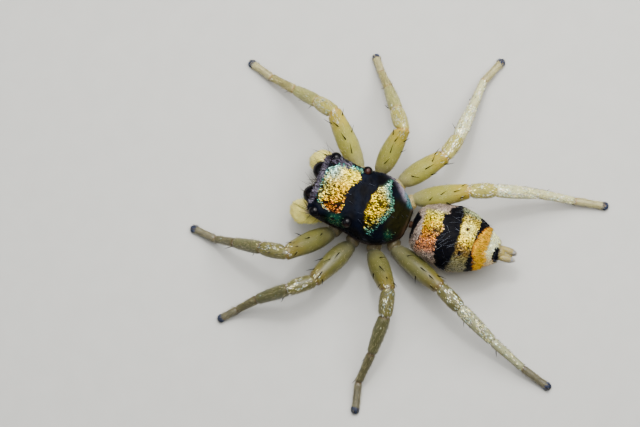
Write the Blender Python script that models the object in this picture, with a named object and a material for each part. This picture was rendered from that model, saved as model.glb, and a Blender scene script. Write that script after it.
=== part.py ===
"""A life-size banded jumping spider, standing as in life, made as separate closed body parts.

The spider faces -Y, its left side is +X and the floor is z = 0. Every size is in millimetres and
is turned into metres when a mesh is made. The head and chest are designed level, in their own
frame, and then tipped up a little about one point; the abdomen and legs are placed directly.
"""

import math
from math import cos, radians, sin

import bmesh
import bpy
from mathutils import Matrix, Vector

MM = 0.001
GAP = 0.04  # clearance between neighbouring parts

# Attitude of the head and chest
BODY_PITCH = radians(5.0)
PITCH_POINT = Vector((0.0, 0.13, 0.80))

# Carapace: stations are (y, half width, margin height, top height, squareness of the section)
CARAPACE_STATIONS = (
    (-0.97, 0.57, 0.93, 1.50, 4.0),
    (-0.82, 0.675, 0.90, 1.58, 4.4),
    (-0.40, 0.70, 0.84, 1.64, 4.2),
    (0.00, 0.725, 0.82, 1.665, 3.8),
    (0.30, 0.785, 0.82, 1.66, 3.1),
    (0.55, 0.77, 0.82, 1.595, 2.7),
    (0.80, 0.67, 0.82, 1.42, 2.4),
    (1.00, 0.52, 0.82, 1.18, 2.2),
    (1.14, 0.36, 0.82, 1.00, 2.2),
    (1.20, 0.26, 0.82, 0.93, 2.2),
)
CARAPACE_RINGS = 19
CARAPACE_SIDES = 26

# Eyes of the left side: (name, centre, radius, segments, rings)
EYES = (
    ("anterior_median", (0.28, -0.96, 1.27), 0.21, 16, 10),
    ("anterior_lateral", (0.625, -0.80, 1.42), 0.125, 12, 8),
    ("posterior_median", (0.615, -0.38, 1.46), 0.045, 8, 6),
    ("posterior_lateral", (0.595, -0.065, 1.505), 0.115, 12, 8),
)

# Sternum, mouthparts and chelicerae
UNDERSIDE = 0.40
STERNUM_TOP = 0.76
STERNUM_FRONT = -0.22
STERNUM_REAR = 1.02
MAXILLA_PATH = ((0.13, -0.27, 0.57), (0.16, -0.66, 0.53))
MAXILLA_RADII = ((0.0, 0.09), (0.3, 0.13), (0.75, 0.14), (1.0, 0.08))
LABIUM_PATH = ((0.0, -0.27, 0.53), (0.0, -0.50, 0.52))
LABIUM_RADII = ((0.0, 0.10), (0.6, 0.09), (1.0, 0.05))
CHELICERA_PATH = ((0.155, -0.82, 0.85), (0.165, -0.92, 0.34))
CHELICERA_RADII = ((0.0, 0.115), (0.15, 0.132), (0.6, 0.13), (0.88, 0.10), (1.0, 0.06))

# Palp of the left side, out and forward from the maxilla and then down: (x, y, z, radius)
PALP_STATIONS = (
    (0.385, -0.47, 0.62, 0.07),
    (0.455, -0.56, 0.63, 0.10),
    (0.53, -0.65, 0.635, 0.135),
    (0.575, -0.75, 0.635, 0.165),
    (0.59, -0.85, 0.63, 0.20),
    (0.585, -0.95, 0.61, 0.24),
    (0.575, -1.04, 0.57, 0.25),
    (0.565, -1.11, 0.51, 0.22),
    (0.555, -1.16, 0.44, 0.16),
    (0.545, -1.18, 0.37, 0.07),
)
PALP_RINGS = 19

# Pedicel, the waist, runs into a socket in the abdomen
PEDICEL_START = Vector((0.0, 1.25, 0.775))
PEDICEL_END = Vector((0.02, 1.44, 0.80))
PEDICEL_RADIUS = 0.08

# Abdomen: stations are (distance behind its front, half width, half height)
ABDOMEN_FRONT = Vector((0.05, 1.29, 0.98))
ABDOMEN_YAW = radians(5.5)
ABDOMEN_DROP = radians(6.5)
ABDOMEN_STATIONS = (
    (0.00, 0.17, 0.16),
    (0.05, 0.33, 0.31),
    (0.15, 0.48, 0.45),
    (0.42, 0.63, 0.58),
    (0.70, 0.69, 0.63),
    (0.95, 0.725, 0.64),
    (1.22, 0.68, 0.60),
    (1.45, 0.585, 0.51),
    (1.65, 0.47, 0.41),
    (1.85, 0.33, 0.28),
    (1.95, 0.255, 0.21),
)
ABDOMEN_RINGS = 18
ABDOMEN_SIDES = 24
BELLY_SHARE = 0.92  # the belly is this much flatter than the back

# Spinnerets: a short collar and two pairs of cones, from the abdomen's end
COLLAR_LENGTH = 0.10
COLLAR_RADII = ((0.0, 0.17), (0.5, 0.165), (1.0, 0.13))
SPINNERET_LENGTH = 0.33
SPINNERET_SPREAD = ((0.095, 0.06), (0.08, -0.07))  # (aside, rise) of the upper and lower pair
SPINNERET_CLOSING = 0.85  # the tips stand this much closer to the middle than the bases
SPINNERET_RADII = ((0.0, 0.07), (0.5, 0.08), (0.85, 0.065), (1.0, 0.035))

# Legs of one side: coxa root, hip, and the lengths of femur, patella, tibia, metatarsus, tarsus
COXA_ROOTS = {1: (0.285, -0.05), 2: (0.33, 0.25), 3: (0.325, 0.57), 4: (0.24, 0.87)}
COXA_HEADINGS = {1: 62.0, 2: 84.0, 3: 97.0, 4: 122.0}
COXA_HEIGHT = 0.58
HIPS = {1: (0.78, -0.28), 2: (0.86, 0.20), 3: (0.82, 0.72), 4: (0.58, 1.13)}
HIP_HEIGHT = 0.62
LEG_LENGTHS = {
    1: (1.36, 0.59, 0.81, 0.66, 0.54),
    2: (1.22, 0.58, 0.85, 0.55, 0.41),
    3: (1.20, 0.57, 0.92, 0.74, 0.60),
    4: (1.41, 0.62, 1.03, 0.89, 0.66),
}
# Pose: each segment's heading in degrees, 0 forward and 90 straight out from the body,
# and the heights of the knee, the patella's end, the tibia's end and the metatarsus's end
LEG_POSES = {
    ("right", 1): ((42, 19, 15, 11, 16), (1.30, 0.94, 0.42, 0.19)),
    ("left", 1): ((53, 6, 2, 0, -6), (1.40, 1.18, 0.66, 0.19)),
    ("right", 2): ((100, 53, 52, 48, 50), (1.42, 1.12, 0.55, 0.23)),
    ("left", 2): ((69, 42, 33, 43, 47), (0.96, 1.01, 0.52, 0.22)),
    ("right", 3): ((131, 101, 90, 90, 108), (1.14, 0.91, 0.49, 0.23)),
    ("left", 3): ((130, 105, 90, 85, 105), (1.22, 1.07, 0.58, 0.19)),
    ("right", 4): ((156, 151, 157, 164, 166), (1.30, 1.01, 0.57, 0.19)),
    ("left", 4): ((158, 156, 159, 162, 167), (0.97, 0.89, 0.50, 0.24)),
}
TIP_HEIGHT = 0.07  # centre of the claw tip, whose underside is cut flat by the floor
SEGMENT_NAMES = ("coxa", "femur", "patella", "tibia")
LEG_SIDES = 12
# Radii along each segment: (share of its length, radius)
COXA_RADII = ((0.0, 0.125), (0.4, 0.15), (0.75, 0.165), (1.0, 0.155))
FEMUR_RADII = ((0.0, 0.15), (0.17, 0.205), (0.40, 0.235), (0.65, 0.22), (0.85, 0.19), (1.0, 0.165))
PATELLA_RADII = ((0.0, 0.15), (0.3, 0.17), (0.7, 0.172), (1.0, 0.145))
TIBIA_RADII = ((0.0, 0.135), (0.2, 0.152), (0.5, 0.148), (0.8, 0.132), (1.0, 0.115))
METATARSUS_RADII = ((0.0, 0.105), (0.2, 0.108), (0.6, 0.095), (1.0, 0.09))
TARSUS_RADII = ((0.25, 0.088), (0.7, 0.085), (0.88, 0.09), (1.0, 0.082))
TIP_CAP_RADIUS = 0.05
TIP_CAP_LENGTH = 0.04

COLOURS = {
    "shell": ((0.02, 0.03, 0.05), 0.3, 0.3),
    "eye": ((0.01, 0.01, 0.012), 0.05, 0.0),
    "abdomen": ((0.75, 0.55, 0.25), 0.4, 0.2),
    "leg": ((0.72, 0.68, 0.42), 0.35, 0.0),
    "foot": ((0.60, 0.56, 0.50), 0.35, 0.0),
    "palp": ((0.80, 0.72, 0.42), 0.4, 0.0),
    "mouth": ((0.45, 0.33, 0.18), 0.35, 0.0),
}


def clear_scene():
    """Removes every object of the open scene."""
    for item in list(bpy.data.objects):
        bpy.data.objects.remove(item, do_unlink=True)


def make_materials():
    """Returns one Principled material for each kind of surface."""
    made = {}
    for name, (colour, roughness, metallic) in COLOURS.items():
        material = bpy.data.materials.new(name)
        material.use_nodes = True
        shader = material.node_tree.nodes["Principled BSDF"]
        shader.inputs["Base Color"].default_value = (*colour, 1.0)
        shader.inputs["Roughness"].default_value = roughness
        shader.inputs["Metallic"].default_value = metallic
        made[name] = material
    return made


def mirrored(point, side):
    """The point as a vector, on the left as given and on the right mirrored across x = 0."""
    x, y, z = point
    return Vector((x if side == "left" else -x, y, z))


def tipped(point):
    """A point of the level head-and-chest frame, carried into the tipped-up pose."""
    return Matrix.Rotation(-BODY_PITCH, 3, "X") @ (Vector(point) - PITCH_POINT) + PITCH_POINT


def heading_vector(heading, side):
    """The level direction at a heading in degrees: 0 is forward and 90 is outward."""
    angle = radians(heading)
    return mirrored((sin(angle), -cos(angle), 0.0), side)


def resample(stations, count):
    """Evenly spaced stations on a smooth curve through the given ones (Catmull-Rom)."""
    last = len(stations) - 1
    rows = []
    for index in range(count):
        place = index * last / (count - 1)
        i = min(int(place), last - 1)
        t = place - i
        p0, p1, p2, p3 = (stations[min(max(i + k, 0), last)] for k in (-1, 0, 1, 2))
        row = []
        for a, b, c, d in zip(p0, p1, p2, p3):
            slope = 2 * b + (c - a) * t
            curve = (2 * a - 5 * b + 4 * c - d) * t**2 + (3 * b - a - 3 * c + d) * t**3
            row.append(0.5 * (slope + curve))
        rows.append(tuple(row))
    return rows


def loft(rings):
    """A closed bmesh through rings of equally many points, with flat end caps."""
    mesh = bmesh.new()
    loops = [[mesh.verts.new(point) for point in ring] for ring in rings]
    sides = len(loops[0])
    for low, high in zip(loops, loops[1:]):
        for i in range(sides):
            j = (i + 1) % sides
            mesh.faces.new((low[i], low[j], high[j], high[i]))
    mesh.faces.new(list(reversed(loops[0])))
    mesh.faces.new(loops[-1])
    bmesh.ops.recalc_face_normals(mesh, faces=mesh.faces)
    return mesh


def cross_axes(direction):
    """Two axes across a limb: one level, one upward."""
    reference = Vector((0, 0, 1)) if abs(direction.z) < 0.97 else Vector((0, 1, 0))
    level = direction.cross(reference).normalized()
    return level, level.cross(direction)


def ring_round(centre, direction, radius, sides):
    """A ring of points round a limb, square to its direction."""
    level, upward = cross_axes(direction)
    ring = []
    for i in range(sides):
        angle = 2 * math.pi * i / sides
        ring.append(centre + radius * (cos(angle) * level + sin(angle) * upward))
    return ring


def tube_rings(stations, sides):
    """Rings square to a smooth path, from stations of (x, y, z, radius)."""
    last = len(stations) - 1
    rings = []
    for i, station in enumerate(stations):
        before = Vector(stations[max(i - 1, 0)][:3])
        after = Vector(stations[min(i + 1, last)][:3])
        rings.append(ring_round(Vector(station[:3]), (after - before).normalized(), station[3], sides))
    return rings


def onto_plane(ring, direction, point, normal):
    """The ring slid along a limb's direction until it lies in a plane."""
    return [v + direction * ((point - v).dot(normal) / direction.dot(normal)) for v in ring]


def limb_rings(path, radii, sides, start_normal=None, end_normal=None):
    """Rings along a bent limb: radii holds (share, radius) rows for each straight run.

    A ring at a bend lies in the plane that halves it. The end planes may be given.
    """
    points = [Vector(p) for p in path]
    runs = [(b - a).normalized() for a, b in zip(points, points[1:])]
    rings = []
    for i, (direction, rows) in enumerate(zip(runs, radii)):
        for share, radius in rows:
            ring = ring_round(points[i].lerp(points[i + 1], share), direction, radius, sides)
            if share == 0.0 and start_normal is not None:
                ring = onto_plane(ring, direction, points[i], start_normal)
            if share == 1.0 and i < len(runs) - 1:
                halving = (direction + runs[i + 1]).normalized()
                ring = onto_plane(ring, direction, points[i + 1], halving)
            if share == 1.0 and i == len(runs) - 1 and end_normal is not None:
                ring = onto_plane(ring, direction, points[i + 1], end_normal)
            rings.append(ring)
    return rings


def ball(centre, radius, segments, rings):
    """A sphere's bmesh, with its poles along Y."""
    mesh = bmesh.new()
    bmesh.ops.create_uvsphere(mesh, u_segments=segments, v_segments=rings, radius=radius)
    mesh.transform(Matrix.Translation(Vector(centre)) @ Matrix.Rotation(math.pi / 2, 4, "X"))
    return mesh


def as_object(name, mesh):
    """A bmesh in millimetres made into a plain object of the same size in scene units."""
    data = bpy.data.meshes.new(name)
    mesh.to_mesh(data)
    mesh.free()
    item = bpy.data.objects.new(name, data)
    bpy.context.scene.collection.objects.link(item)
    return item


def combined(mesh, tools, operation):
    """The bmesh after one Boolean with a collection of tool bmeshes."""
    body = as_object("boolean_body", mesh)
    group = bpy.data.collections.new("boolean_tools")
    bpy.context.scene.collection.children.link(group)
    for index, tool in enumerate(tools):
        piece = as_object(f"boolean_tool_{index}", tool)
        bpy.context.scene.collection.objects.unlink(piece)
        group.objects.link(piece)
    modifier = body.modifiers.new("combine", "BOOLEAN")
    modifier.operation = operation
    modifier.operand_type = "COLLECTION"
    modifier.collection = group
    modifier.solver = "EXACT"
    bpy.context.view_layer.update()
    evaluated = body.evaluated_get(bpy.context.evaluated_depsgraph_get())
    result = bmesh.new()
    result.from_mesh(evaluated.to_mesh())
    evaluated.to_mesh_clear()
    for piece in list(group.objects) + [body]:
        bpy.data.objects.remove(piece, do_unlink=True)
    bpy.data.collections.remove(group)
    return largest_shell(result)


def largest_shell(mesh):
    """The bmesh with only its biggest connected surface kept."""
    left = set(mesh.verts)
    shells = []
    while left:
        shell = set()
        front = [left.pop()]
        while front:
            vertex = front.pop()
            shell.add(vertex)
            near = {edge.other_vert(vertex) for edge in vertex.link_edges} & left
            left -= near
            front.extend(near)
        shells.append(shell)
    shells.sort(key=len)
    for shell in shells[:-1]:
        bmesh.ops.delete(mesh, geom=list(shell), context="VERTS")
    return mesh


class Builder:
    """Turns bmeshes in millimetres into named objects in metres under one empty."""

    def __init__(self):
        self.materials = make_materials()
        self.root = bpy.data.objects.new("spider", None)
        bpy.context.scene.collection.objects.link(self.root)
        self.parts = []

    def add(self, name, mesh, material, origin):
        """Adds a node whose object sits at origin, a point in millimetres."""
        bmesh.ops.triangulate(mesh, faces=[f for f in mesh.faces if len(f.verts) > 4])
        mesh.transform(Matrix.Scale(MM, 4) @ Matrix.Translation(-Vector(origin)))
        item = as_object(name, mesh)
        item.location = Vector(origin) * MM
        item.parent = self.root
        item.data.materials.append(self.materials[material])
        item.data.shade_smooth()
        self.parts.append(item)

    def centre_on_floor(self):
        """Moves the empty so that the whole spider's box is centred on the origin, feet at 0."""
        bpy.context.view_layer.update()
        corners = [p.matrix_world @ v.co for p in self.parts for v in p.data.vertices]
        low = [min(c[axis] for c in corners) for axis in range(3)]
        high = [max(c[axis] for c in corners) for axis in range(3)]
        self.root.location = (-(low[0] + high[0]) / 2, -(low[1] + high[1]) / 2, -low[2])


def carapace_ring(station):
    """One cross-section of the carapace: a squared dome on a flat underside."""
    y, half_width, margin, top, squareness = station
    ring = []
    for i in range(CARAPACE_SIDES):
        angle = math.pi * i / (CARAPACE_SIDES - 1)
        reach = (abs(cos(angle)) ** squareness + abs(sin(angle)) ** squareness) ** (-1 / squareness)
        rise = (top - margin) * reach * sin(angle)
        ring.append(tipped((half_width * reach * cos(angle), y, margin + rise)))
    return ring


def build_head(builder):
    """Carapace with a socket for each eye, and the eight eyes."""
    rings = [carapace_ring(station) for station in resample(CARAPACE_STATIONS, CARAPACE_RINGS)]
    sockets = []
    for name, centre, radius, segments, eye_rings in EYES:
        for side in ("left", "right"):
            place = tipped(mirrored(centre, side))
            sockets.append(ball(place, radius + GAP, segments, eye_rings))
            builder.add(f"eye_{name}_{side}", ball(place, radius, segments, eye_rings), "eye", place)
    carapace = combined(loft(rings), sockets, "DIFFERENCE")
    builder.add("carapace", carapace, "shell", PITCH_POINT)


def line_crossing(first, second):
    """Where two level lines cross, each given as (point, normal) with x and y only."""
    (p, m), (q, n) = first, second
    determinant = m[0] * n[1] - m[1] * n[0]
    a = m[0] * p[0] + m[1] * p[1]
    b = n[0] * q[0] + n[1] * q[1]
    return (a * n[1] - b * m[1]) / determinant, (m[0] * b - n[0] * a) / determinant


def build_sternum(builder):
    """A shield whose edges face the coxae, as deep as the space under the carapace."""
    edges = [((0.0, STERNUM_FRONT), (0.0, -1.0))]
    for number in COXA_ROOTS:
        normal = heading_vector(COXA_HEADINGS[number], "left")
        x, y = COXA_ROOTS[number]
        edges.append(((x - GAP * normal.x, y - GAP * normal.y), (normal.x, normal.y)))
    edges.append(((0.0, STERNUM_REAR), (0.0, 1.0)))
    left = [line_crossing(a, b) for a, b in zip(edges, edges[1:])]
    outline = left + [(-x, y) for x, y in reversed(left)]
    bevel = (0.86, UNDERSIDE), (1.0, UNDERSIDE + 0.08), (1.0, STERNUM_TOP)
    middle = (STERNUM_FRONT + STERNUM_REAR) / 2
    rings = []
    for share, height in bevel:
        rings.append([tipped((x * share, middle + (y - middle) * share, height)) for x, y in outline])
    builder.add("sternum", loft(rings), "mouth", tipped((0.0, middle, UNDERSIDE)))


def build_mouth(builder):
    """Labium and maxillae in one piece, the two chelicerae, and the two palps."""
    labium = loft(limb_rings([tipped(p) for p in LABIUM_PATH], [LABIUM_RADII], LEG_SIDES))
    maxillae = []
    for side in ("left", "right"):
        path = [tipped(mirrored(p, side)) for p in MAXILLA_PATH]
        maxillae.append(loft(limb_rings(path, [MAXILLA_RADII], LEG_SIDES)))
        path = [tipped(mirrored(p, side)) for p in CHELICERA_PATH]
        chelicera = loft(limb_rings(path, [CHELICERA_RADII], LEG_SIDES))
        builder.add(f"chelicera_{side}", chelicera, "mouth", path[0])
        stations = []
        for x, y, z, radius in resample(PALP_STATIONS, PALP_RINGS):
            stations.append((*tipped(mirrored((x, y, z), side)), radius))
        palp = loft(tube_rings(stations, LEG_SIDES))
        builder.add(f"palp_{side}", palp, "palp", stations[0][:3])
    mouthparts = combined(labium, maxillae, "UNION")
    builder.add("mouthparts", mouthparts, "mouth", tipped(LABIUM_PATH[0]))


def abdomen_axes():
    """The abdomen's rearward direction, its level cross axis and its upward axis."""
    turn = Matrix.Rotation(ABDOMEN_YAW, 3, "Z") @ Matrix.Rotation(-ABDOMEN_DROP, 3, "X")
    return turn @ Vector((0, 1, 0)), turn @ Vector((1, 0, 0)), turn @ Vector((0, 0, 1))


def build_abdomen(builder):
    """Pedicel, the egg-shaped abdomen with a socket for it, and the spinnerets."""
    back, across, up = abdomen_axes()
    rings = []
    for distance, half_width, half_height in resample(ABDOMEN_STATIONS, ABDOMEN_RINGS):
        centre = ABDOMEN_FRONT + distance * back
        ring = []
        for i in range(ABDOMEN_SIDES):
            angle = 2 * math.pi * i / ABDOMEN_SIDES
            rise = half_height * sin(angle) * (BELLY_SHARE if sin(angle) < 0 else 1.0)
            ring.append(centre + half_width * cos(angle) * across + rise * up)
        rings.append(ring)
    pedicel_path = (PEDICEL_START, PEDICEL_END)
    pedicel_radii = ((0.0, PEDICEL_RADIUS), (0.5, PEDICEL_RADIUS), (1.0, PEDICEL_RADIUS))
    builder.add("pedicel", loft(limb_rings(pedicel_path, [pedicel_radii], LEG_SIDES)), "mouth", PEDICEL_START)
    run = (PEDICEL_END - PEDICEL_START).normalized()
    socket_path = (PEDICEL_START - GAP * run, PEDICEL_END + GAP * run)
    socket_radius = PEDICEL_RADIUS + GAP
    socket = loft(limb_rings(socket_path, [((0.0, socket_radius), (1.0, socket_radius))], LEG_SIDES))
    abdomen = combined(loft(rings), [socket], "DIFFERENCE")
    builder.add("abdomen", abdomen, "abdomen", ABDOMEN_FRONT)

    end = ABDOMEN_FRONT + (ABDOMEN_STATIONS[-1][0] + GAP) * back
    collar = loft(limb_rings((end, end + COLLAR_LENGTH * back), [COLLAR_RADII], LEG_SIDES))
    cones = []
    for aside, rise in SPINNERET_SPREAD:
        for side in (-1, 1):
            base = end + side * aside * across + rise * up + 0.2 * COLLAR_LENGTH * back
            inward = SPINNERET_CLOSING * (side * aside * across + rise * up)
            tip = end + inward + SPINNERET_LENGTH * back
            cones.append(loft(limb_rings((base, tip), [SPINNERET_RADII], LEG_SIDES)))
    builder.add("spinnerets", combined(collar, cones, "UNION"), "mouth", end)


def leg_points(side, number):
    """The coxa's root, the hip and the ends of the leg's segments down to the claw tip."""
    root_x, root_y = COXA_ROOTS[number]
    hip_x, hip_y = HIPS[number]
    points = [
        tipped(mirrored((root_x, root_y, COXA_HEIGHT), side)),
        tipped(mirrored((hip_x, hip_y, HIP_HEIGHT), side)),
    ]
    headings, heights = LEG_POSES[side, number]
    for length, heading, height in zip(LEG_LENGTHS[number], headings, heights + (TIP_HEIGHT,)):
        rise = height - points[-1].z
        run = math.sqrt(length**2 - rise**2)
        points.append(points[-1] + run * heading_vector(heading, side) + Vector((0, 0, rise)))
    return points


def build_leg(builder, side, number):
    """Coxa, femur, patella, tibia and foot, each ending in the plane that halves its joint."""
    points = leg_points(side, number)
    runs = [(b - a).normalized() for a, b in zip(points, points[1:])]
    root_normal = heading_vector(COXA_HEADINGS[number], side)
    planes = [root_normal] + [(a + b).normalized() for a, b in zip(runs, runs[1:])]
    radii = (COXA_RADII, FEMUR_RADII, PATELLA_RADII, TIBIA_RADII)
    for i, name in enumerate(SEGMENT_NAMES):
        back_off = 0.0 if i == 0 else GAP / 2 / runs[i].dot(planes[i])
        start = points[i] + back_off * runs[i]
        end = points[i + 1] - GAP / 2 / runs[i].dot(planes[i + 1]) * runs[i]
        rings = limb_rings((start, end), [radii[i]], LEG_SIDES, planes[i], planes[i + 1])
        builder.add(f"leg_{side}_{number}_{name}", loft(rings), "leg", points[i])

    start = points[4] + GAP / 2 / runs[4].dot(planes[4]) * runs[4]
    path = (start, points[5], points[6])
    rings = limb_rings(path, (METATARSUS_RADII, TARSUS_RADII), LEG_SIDES, planes[4])
    cap_centre = points[6] + TIP_CAP_LENGTH * runs[5]
    rings.append(ring_round(cap_centre, runs[5], TIP_CAP_RADIUS, LEG_SIDES))
    foot = loft(rings)
    for vertex in foot.verts:
        vertex.co.z = max(vertex.co.z, 0.0)
    builder.add(f"leg_{side}_{number}_foot", foot, "foot", points[4])


def main():
    clear_scene()
    builder = Builder()
    build_head(builder)
    build_sternum(builder)
    build_mouth(builder)
    build_abdomen(builder)
    for side in ("left", "right"):
        for number in COXA_ROOTS:
            build_leg(builder, side, number)
    builder.centre_on_floor()


main()
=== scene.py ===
"""A banded jumping spider at life size: skins, scales, hairs, eyes, claws, floor, lights, camera.

Sizes are in millimetres, in the same design frame as the solids: the spider faces -Y, its left
side is +X and the floor is z = 0. The head and chest are designed level and then tipped up a
little. `at_scale` turns millimetres into metres and moves them into the frame's own place.
"""

import math
from math import radians

import bpy
import numpy as np
from mathutils import Matrix, Vector


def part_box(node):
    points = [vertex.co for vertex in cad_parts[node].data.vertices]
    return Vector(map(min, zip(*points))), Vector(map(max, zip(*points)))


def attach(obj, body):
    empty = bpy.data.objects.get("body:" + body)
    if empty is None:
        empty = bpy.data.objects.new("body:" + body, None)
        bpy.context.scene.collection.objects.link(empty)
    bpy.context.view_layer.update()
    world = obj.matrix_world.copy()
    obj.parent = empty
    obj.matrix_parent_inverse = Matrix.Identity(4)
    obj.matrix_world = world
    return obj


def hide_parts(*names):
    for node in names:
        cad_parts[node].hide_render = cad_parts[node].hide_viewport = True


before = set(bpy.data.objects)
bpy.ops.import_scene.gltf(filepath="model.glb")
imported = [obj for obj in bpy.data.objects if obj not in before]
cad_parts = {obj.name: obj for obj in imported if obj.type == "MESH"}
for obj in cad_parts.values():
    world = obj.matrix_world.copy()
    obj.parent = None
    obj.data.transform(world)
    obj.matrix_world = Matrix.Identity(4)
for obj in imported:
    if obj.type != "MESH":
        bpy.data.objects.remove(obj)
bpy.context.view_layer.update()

MM = 0.001
BODY = "root"
SIDES = ("left", "right")

# Attitude of the head and chest
BODY_PITCH = radians(5.0)
PITCH_POINT = np.array((0.0, 0.13, 0.80))

# Carapace, a coat's depth inside its solid: (y, half width, margin height, top height, squareness)
CARAPACE_STATIONS = (
    (-0.87, 0.635, 0.91, 1.535, 4.2),
    (-0.72, 0.67, 0.89, 1.575, 4.3),
    (-0.40, 0.69, 0.84, 1.615, 4.2),
    (0.00, 0.715, 0.82, 1.64, 3.8),
    (0.30, 0.775, 0.82, 1.635, 3.1),
    (0.55, 0.76, 0.82, 1.57, 2.7),
    (0.80, 0.66, 0.82, 1.395, 2.4),
    (1.00, 0.51, 0.82, 1.16, 2.2),
    (1.12, 0.38, 0.82, 1.01, 2.2),
)
FACE_DEPTH = 0.09
FACE_SQUARENESS = 4.0
REAR_DEPTH = 0.07
REAR_SQUARENESS = 2.4

# Eyes of the left side: name, centre, radius, direction it looks in, height of its collar
EYES = (
    ("anterior_median", (0.28, -0.96, 1.27), 0.21, (0.05, -1.0, 0.02), 0.030),
    ("anterior_lateral", (0.625, -0.80, 1.42), 0.125, (0.45, -0.85, 0.15), 0.040),
    ("posterior_median", (0.615, -0.38, 1.46), 0.045, (0.9, 0.0, 0.5), 0.010),
    ("posterior_lateral", (0.595, -0.065, 1.505), 0.115, (0.85, 0.2, 0.5), 0.022),
)
RIDGE_END = np.array((0.60, -0.45, 1.48))  # where the ridge behind each anterior lateral eye ends

# Abdomen: stations are (distance behind its front, half width, half height)
ABDOMEN_FRONT = np.array((0.05, 1.29, 0.98))
ABDOMEN_YAW = radians(5.5)
ABDOMEN_DROP = radians(6.5)
ABDOMEN_STATIONS = (
    (0.00, 0.20, 0.18),
    (0.03, 0.34, 0.31),
    (0.10, 0.45, 0.42),
    (0.22, 0.54, 0.50),
    (0.42, 0.63, 0.58),
    (0.70, 0.69, 0.63),
    (0.95, 0.725, 0.64),
    (1.22, 0.68, 0.60),
    (1.45, 0.585, 0.51),
    (1.65, 0.47, 0.41),
    (1.85, 0.33, 0.28),
    (1.95, 0.255, 0.21),
)
ABDOMEN_LENGTH = 1.97
ABDOMEN_COAT = 0.012
FOLD_SPACING = 0.085  # of the folds on its belly
BELLY_SHARE = 0.92
# Dents of its back: (across to the left, distance behind its front, radius)
DENTS = (
    (-0.17, 1.12, 0.045), (0.38, 1.11, 0.045), (-0.15, 0.27, 0.018), (-0.22, 0.34, 0.018),
    (-0.07, 0.38, 0.018), (0.20, 0.21, 0.018),
)

# Legs of one side, as in the solids
COXA_ROOTS = {1: (0.285, -0.05), 2: (0.33, 0.25), 3: (0.325, 0.57), 4: (0.24, 0.87)}
COXA_HEIGHT = 0.58
HIPS = {1: (0.78, -0.28), 2: (0.86, 0.20), 3: (0.82, 0.72), 4: (0.58, 1.13)}
HIP_HEIGHT = 0.62
LEG_LENGTHS = {
    1: (1.36, 0.59, 0.81, 0.66, 0.54),
    2: (1.22, 0.58, 0.85, 0.55, 0.41),
    3: (1.20, 0.57, 0.92, 0.74, 0.60),
    4: (1.41, 0.62, 1.03, 0.89, 0.66),
}
LEG_POSES = {
    ("right", 1): ((42, 19, 15, 11, 16), (1.30, 0.94, 0.42, 0.19)),
    ("left", 1): ((53, 6, 2, 0, -6), (1.40, 1.18, 0.66, 0.19)),
    ("right", 2): ((100, 53, 52, 48, 50), (1.42, 1.12, 0.55, 0.23)),
    ("left", 2): ((69, 42, 33, 43, 47), (0.96, 1.01, 0.52, 0.22)),
    ("right", 3): ((131, 101, 90, 90, 108), (1.14, 0.91, 0.49, 0.23)),
    ("left", 3): ((130, 105, 90, 85, 105), (1.22, 1.07, 0.58, 0.19)),
    ("right", 4): ((156, 151, 157, 164, 166), (1.30, 1.01, 0.57, 0.19)),
    ("left", 4): ((158, 156, 159, 162, 167), (0.97, 0.89, 0.50, 0.24)),
}
TIP_HEIGHT = 0.07
LEG_COAT = 0.007
# Radii of coxa, femur, patella, tibia, metatarsus and tarsus: (share of the length, radius)
LEG_RADII = (
    ((0.0, 0.125), (0.4, 0.15), (0.75, 0.165), (1.0, 0.155)),
    ((0.0, 0.15), (0.17, 0.205), (0.40, 0.235), (0.65, 0.22), (0.85, 0.19), (1.0, 0.165)),
    ((0.0, 0.15), (0.3, 0.17), (0.7, 0.172), (1.0, 0.145)),
    ((0.0, 0.135), (0.2, 0.152), (0.5, 0.148), (0.8, 0.132), (1.0, 0.115)),
    ((0.0, 0.105), (0.2, 0.108), (0.6, 0.095), (1.0, 0.09)),
    ((0.0, 0.088), (0.3, 0.088), (0.7, 0.085), (0.88, 0.09), (1.0, 0.082)),
)
COXA, FEMUR, PATELLA, TIBIA, METATARSUS, TARSUS = range(6)
CAD_SEGMENTS = ("coxa", "femur", "patella", "tibia", "foot")
# Legs whose silver scales lie on the shin; on the others they lie on the knee
SILVER_SHINS = (("right", 3), ("right", 4), ("left", 4))
# Painted shade: the left legs are darker than the right ones, the rear three most
LEG_TONES_WITH_LEFT_SHADE = {"right": np.array((0.74, 0.74, 0.78)), "left": np.array((0.27, 0.275, 0.36))}
REAR_LEFT_SHADE = 0.80
# How densely silver scales, with the shin silver or not, and hairs cover each segment
SILVER_DENSITY = {True: np.array((0.0, 0.1, 0.35, 1.0, 0.35, 0.0)),
                  False: np.array((0.0, 0.7, 1.0, 0.04, 0.05, 0.0))}
HAIR_DENSITY = np.array((0.2, 0.4, 0.9, 1.0, 1.4, 1.6))
CLAW_COLUMNS = (7, 13)  # of the leg's 40 columns, on either side of the top
# Spines: segment, share along it, angle round it in degrees (90 is on top), length
SPINES = np.array((
    (FEMUR, 0.30, 92, 0.32), (FEMUR, 0.56, 84, 0.30), (FEMUR, 0.80, 98, 0.24),
    (FEMUR, 0.87, 42, 0.22), (FEMUR, 0.87, 138, 0.22), (FEMUR, 0.60, 30, 0.20),
    (TIBIA, 0.28, -50, 0.24), (TIBIA, 0.28, -130, 0.24), (TIBIA, 0.62, -55, 0.24),
    (TIBIA, 0.62, -125, 0.24), (METATARSUS, 0.20, -50, 0.22), (METATARSUS, 0.20, -130, 0.22),
    (METATARSUS, 0.93, -40, 0.14), (METATARSUS, 0.93, -140, 0.14),
))

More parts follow.
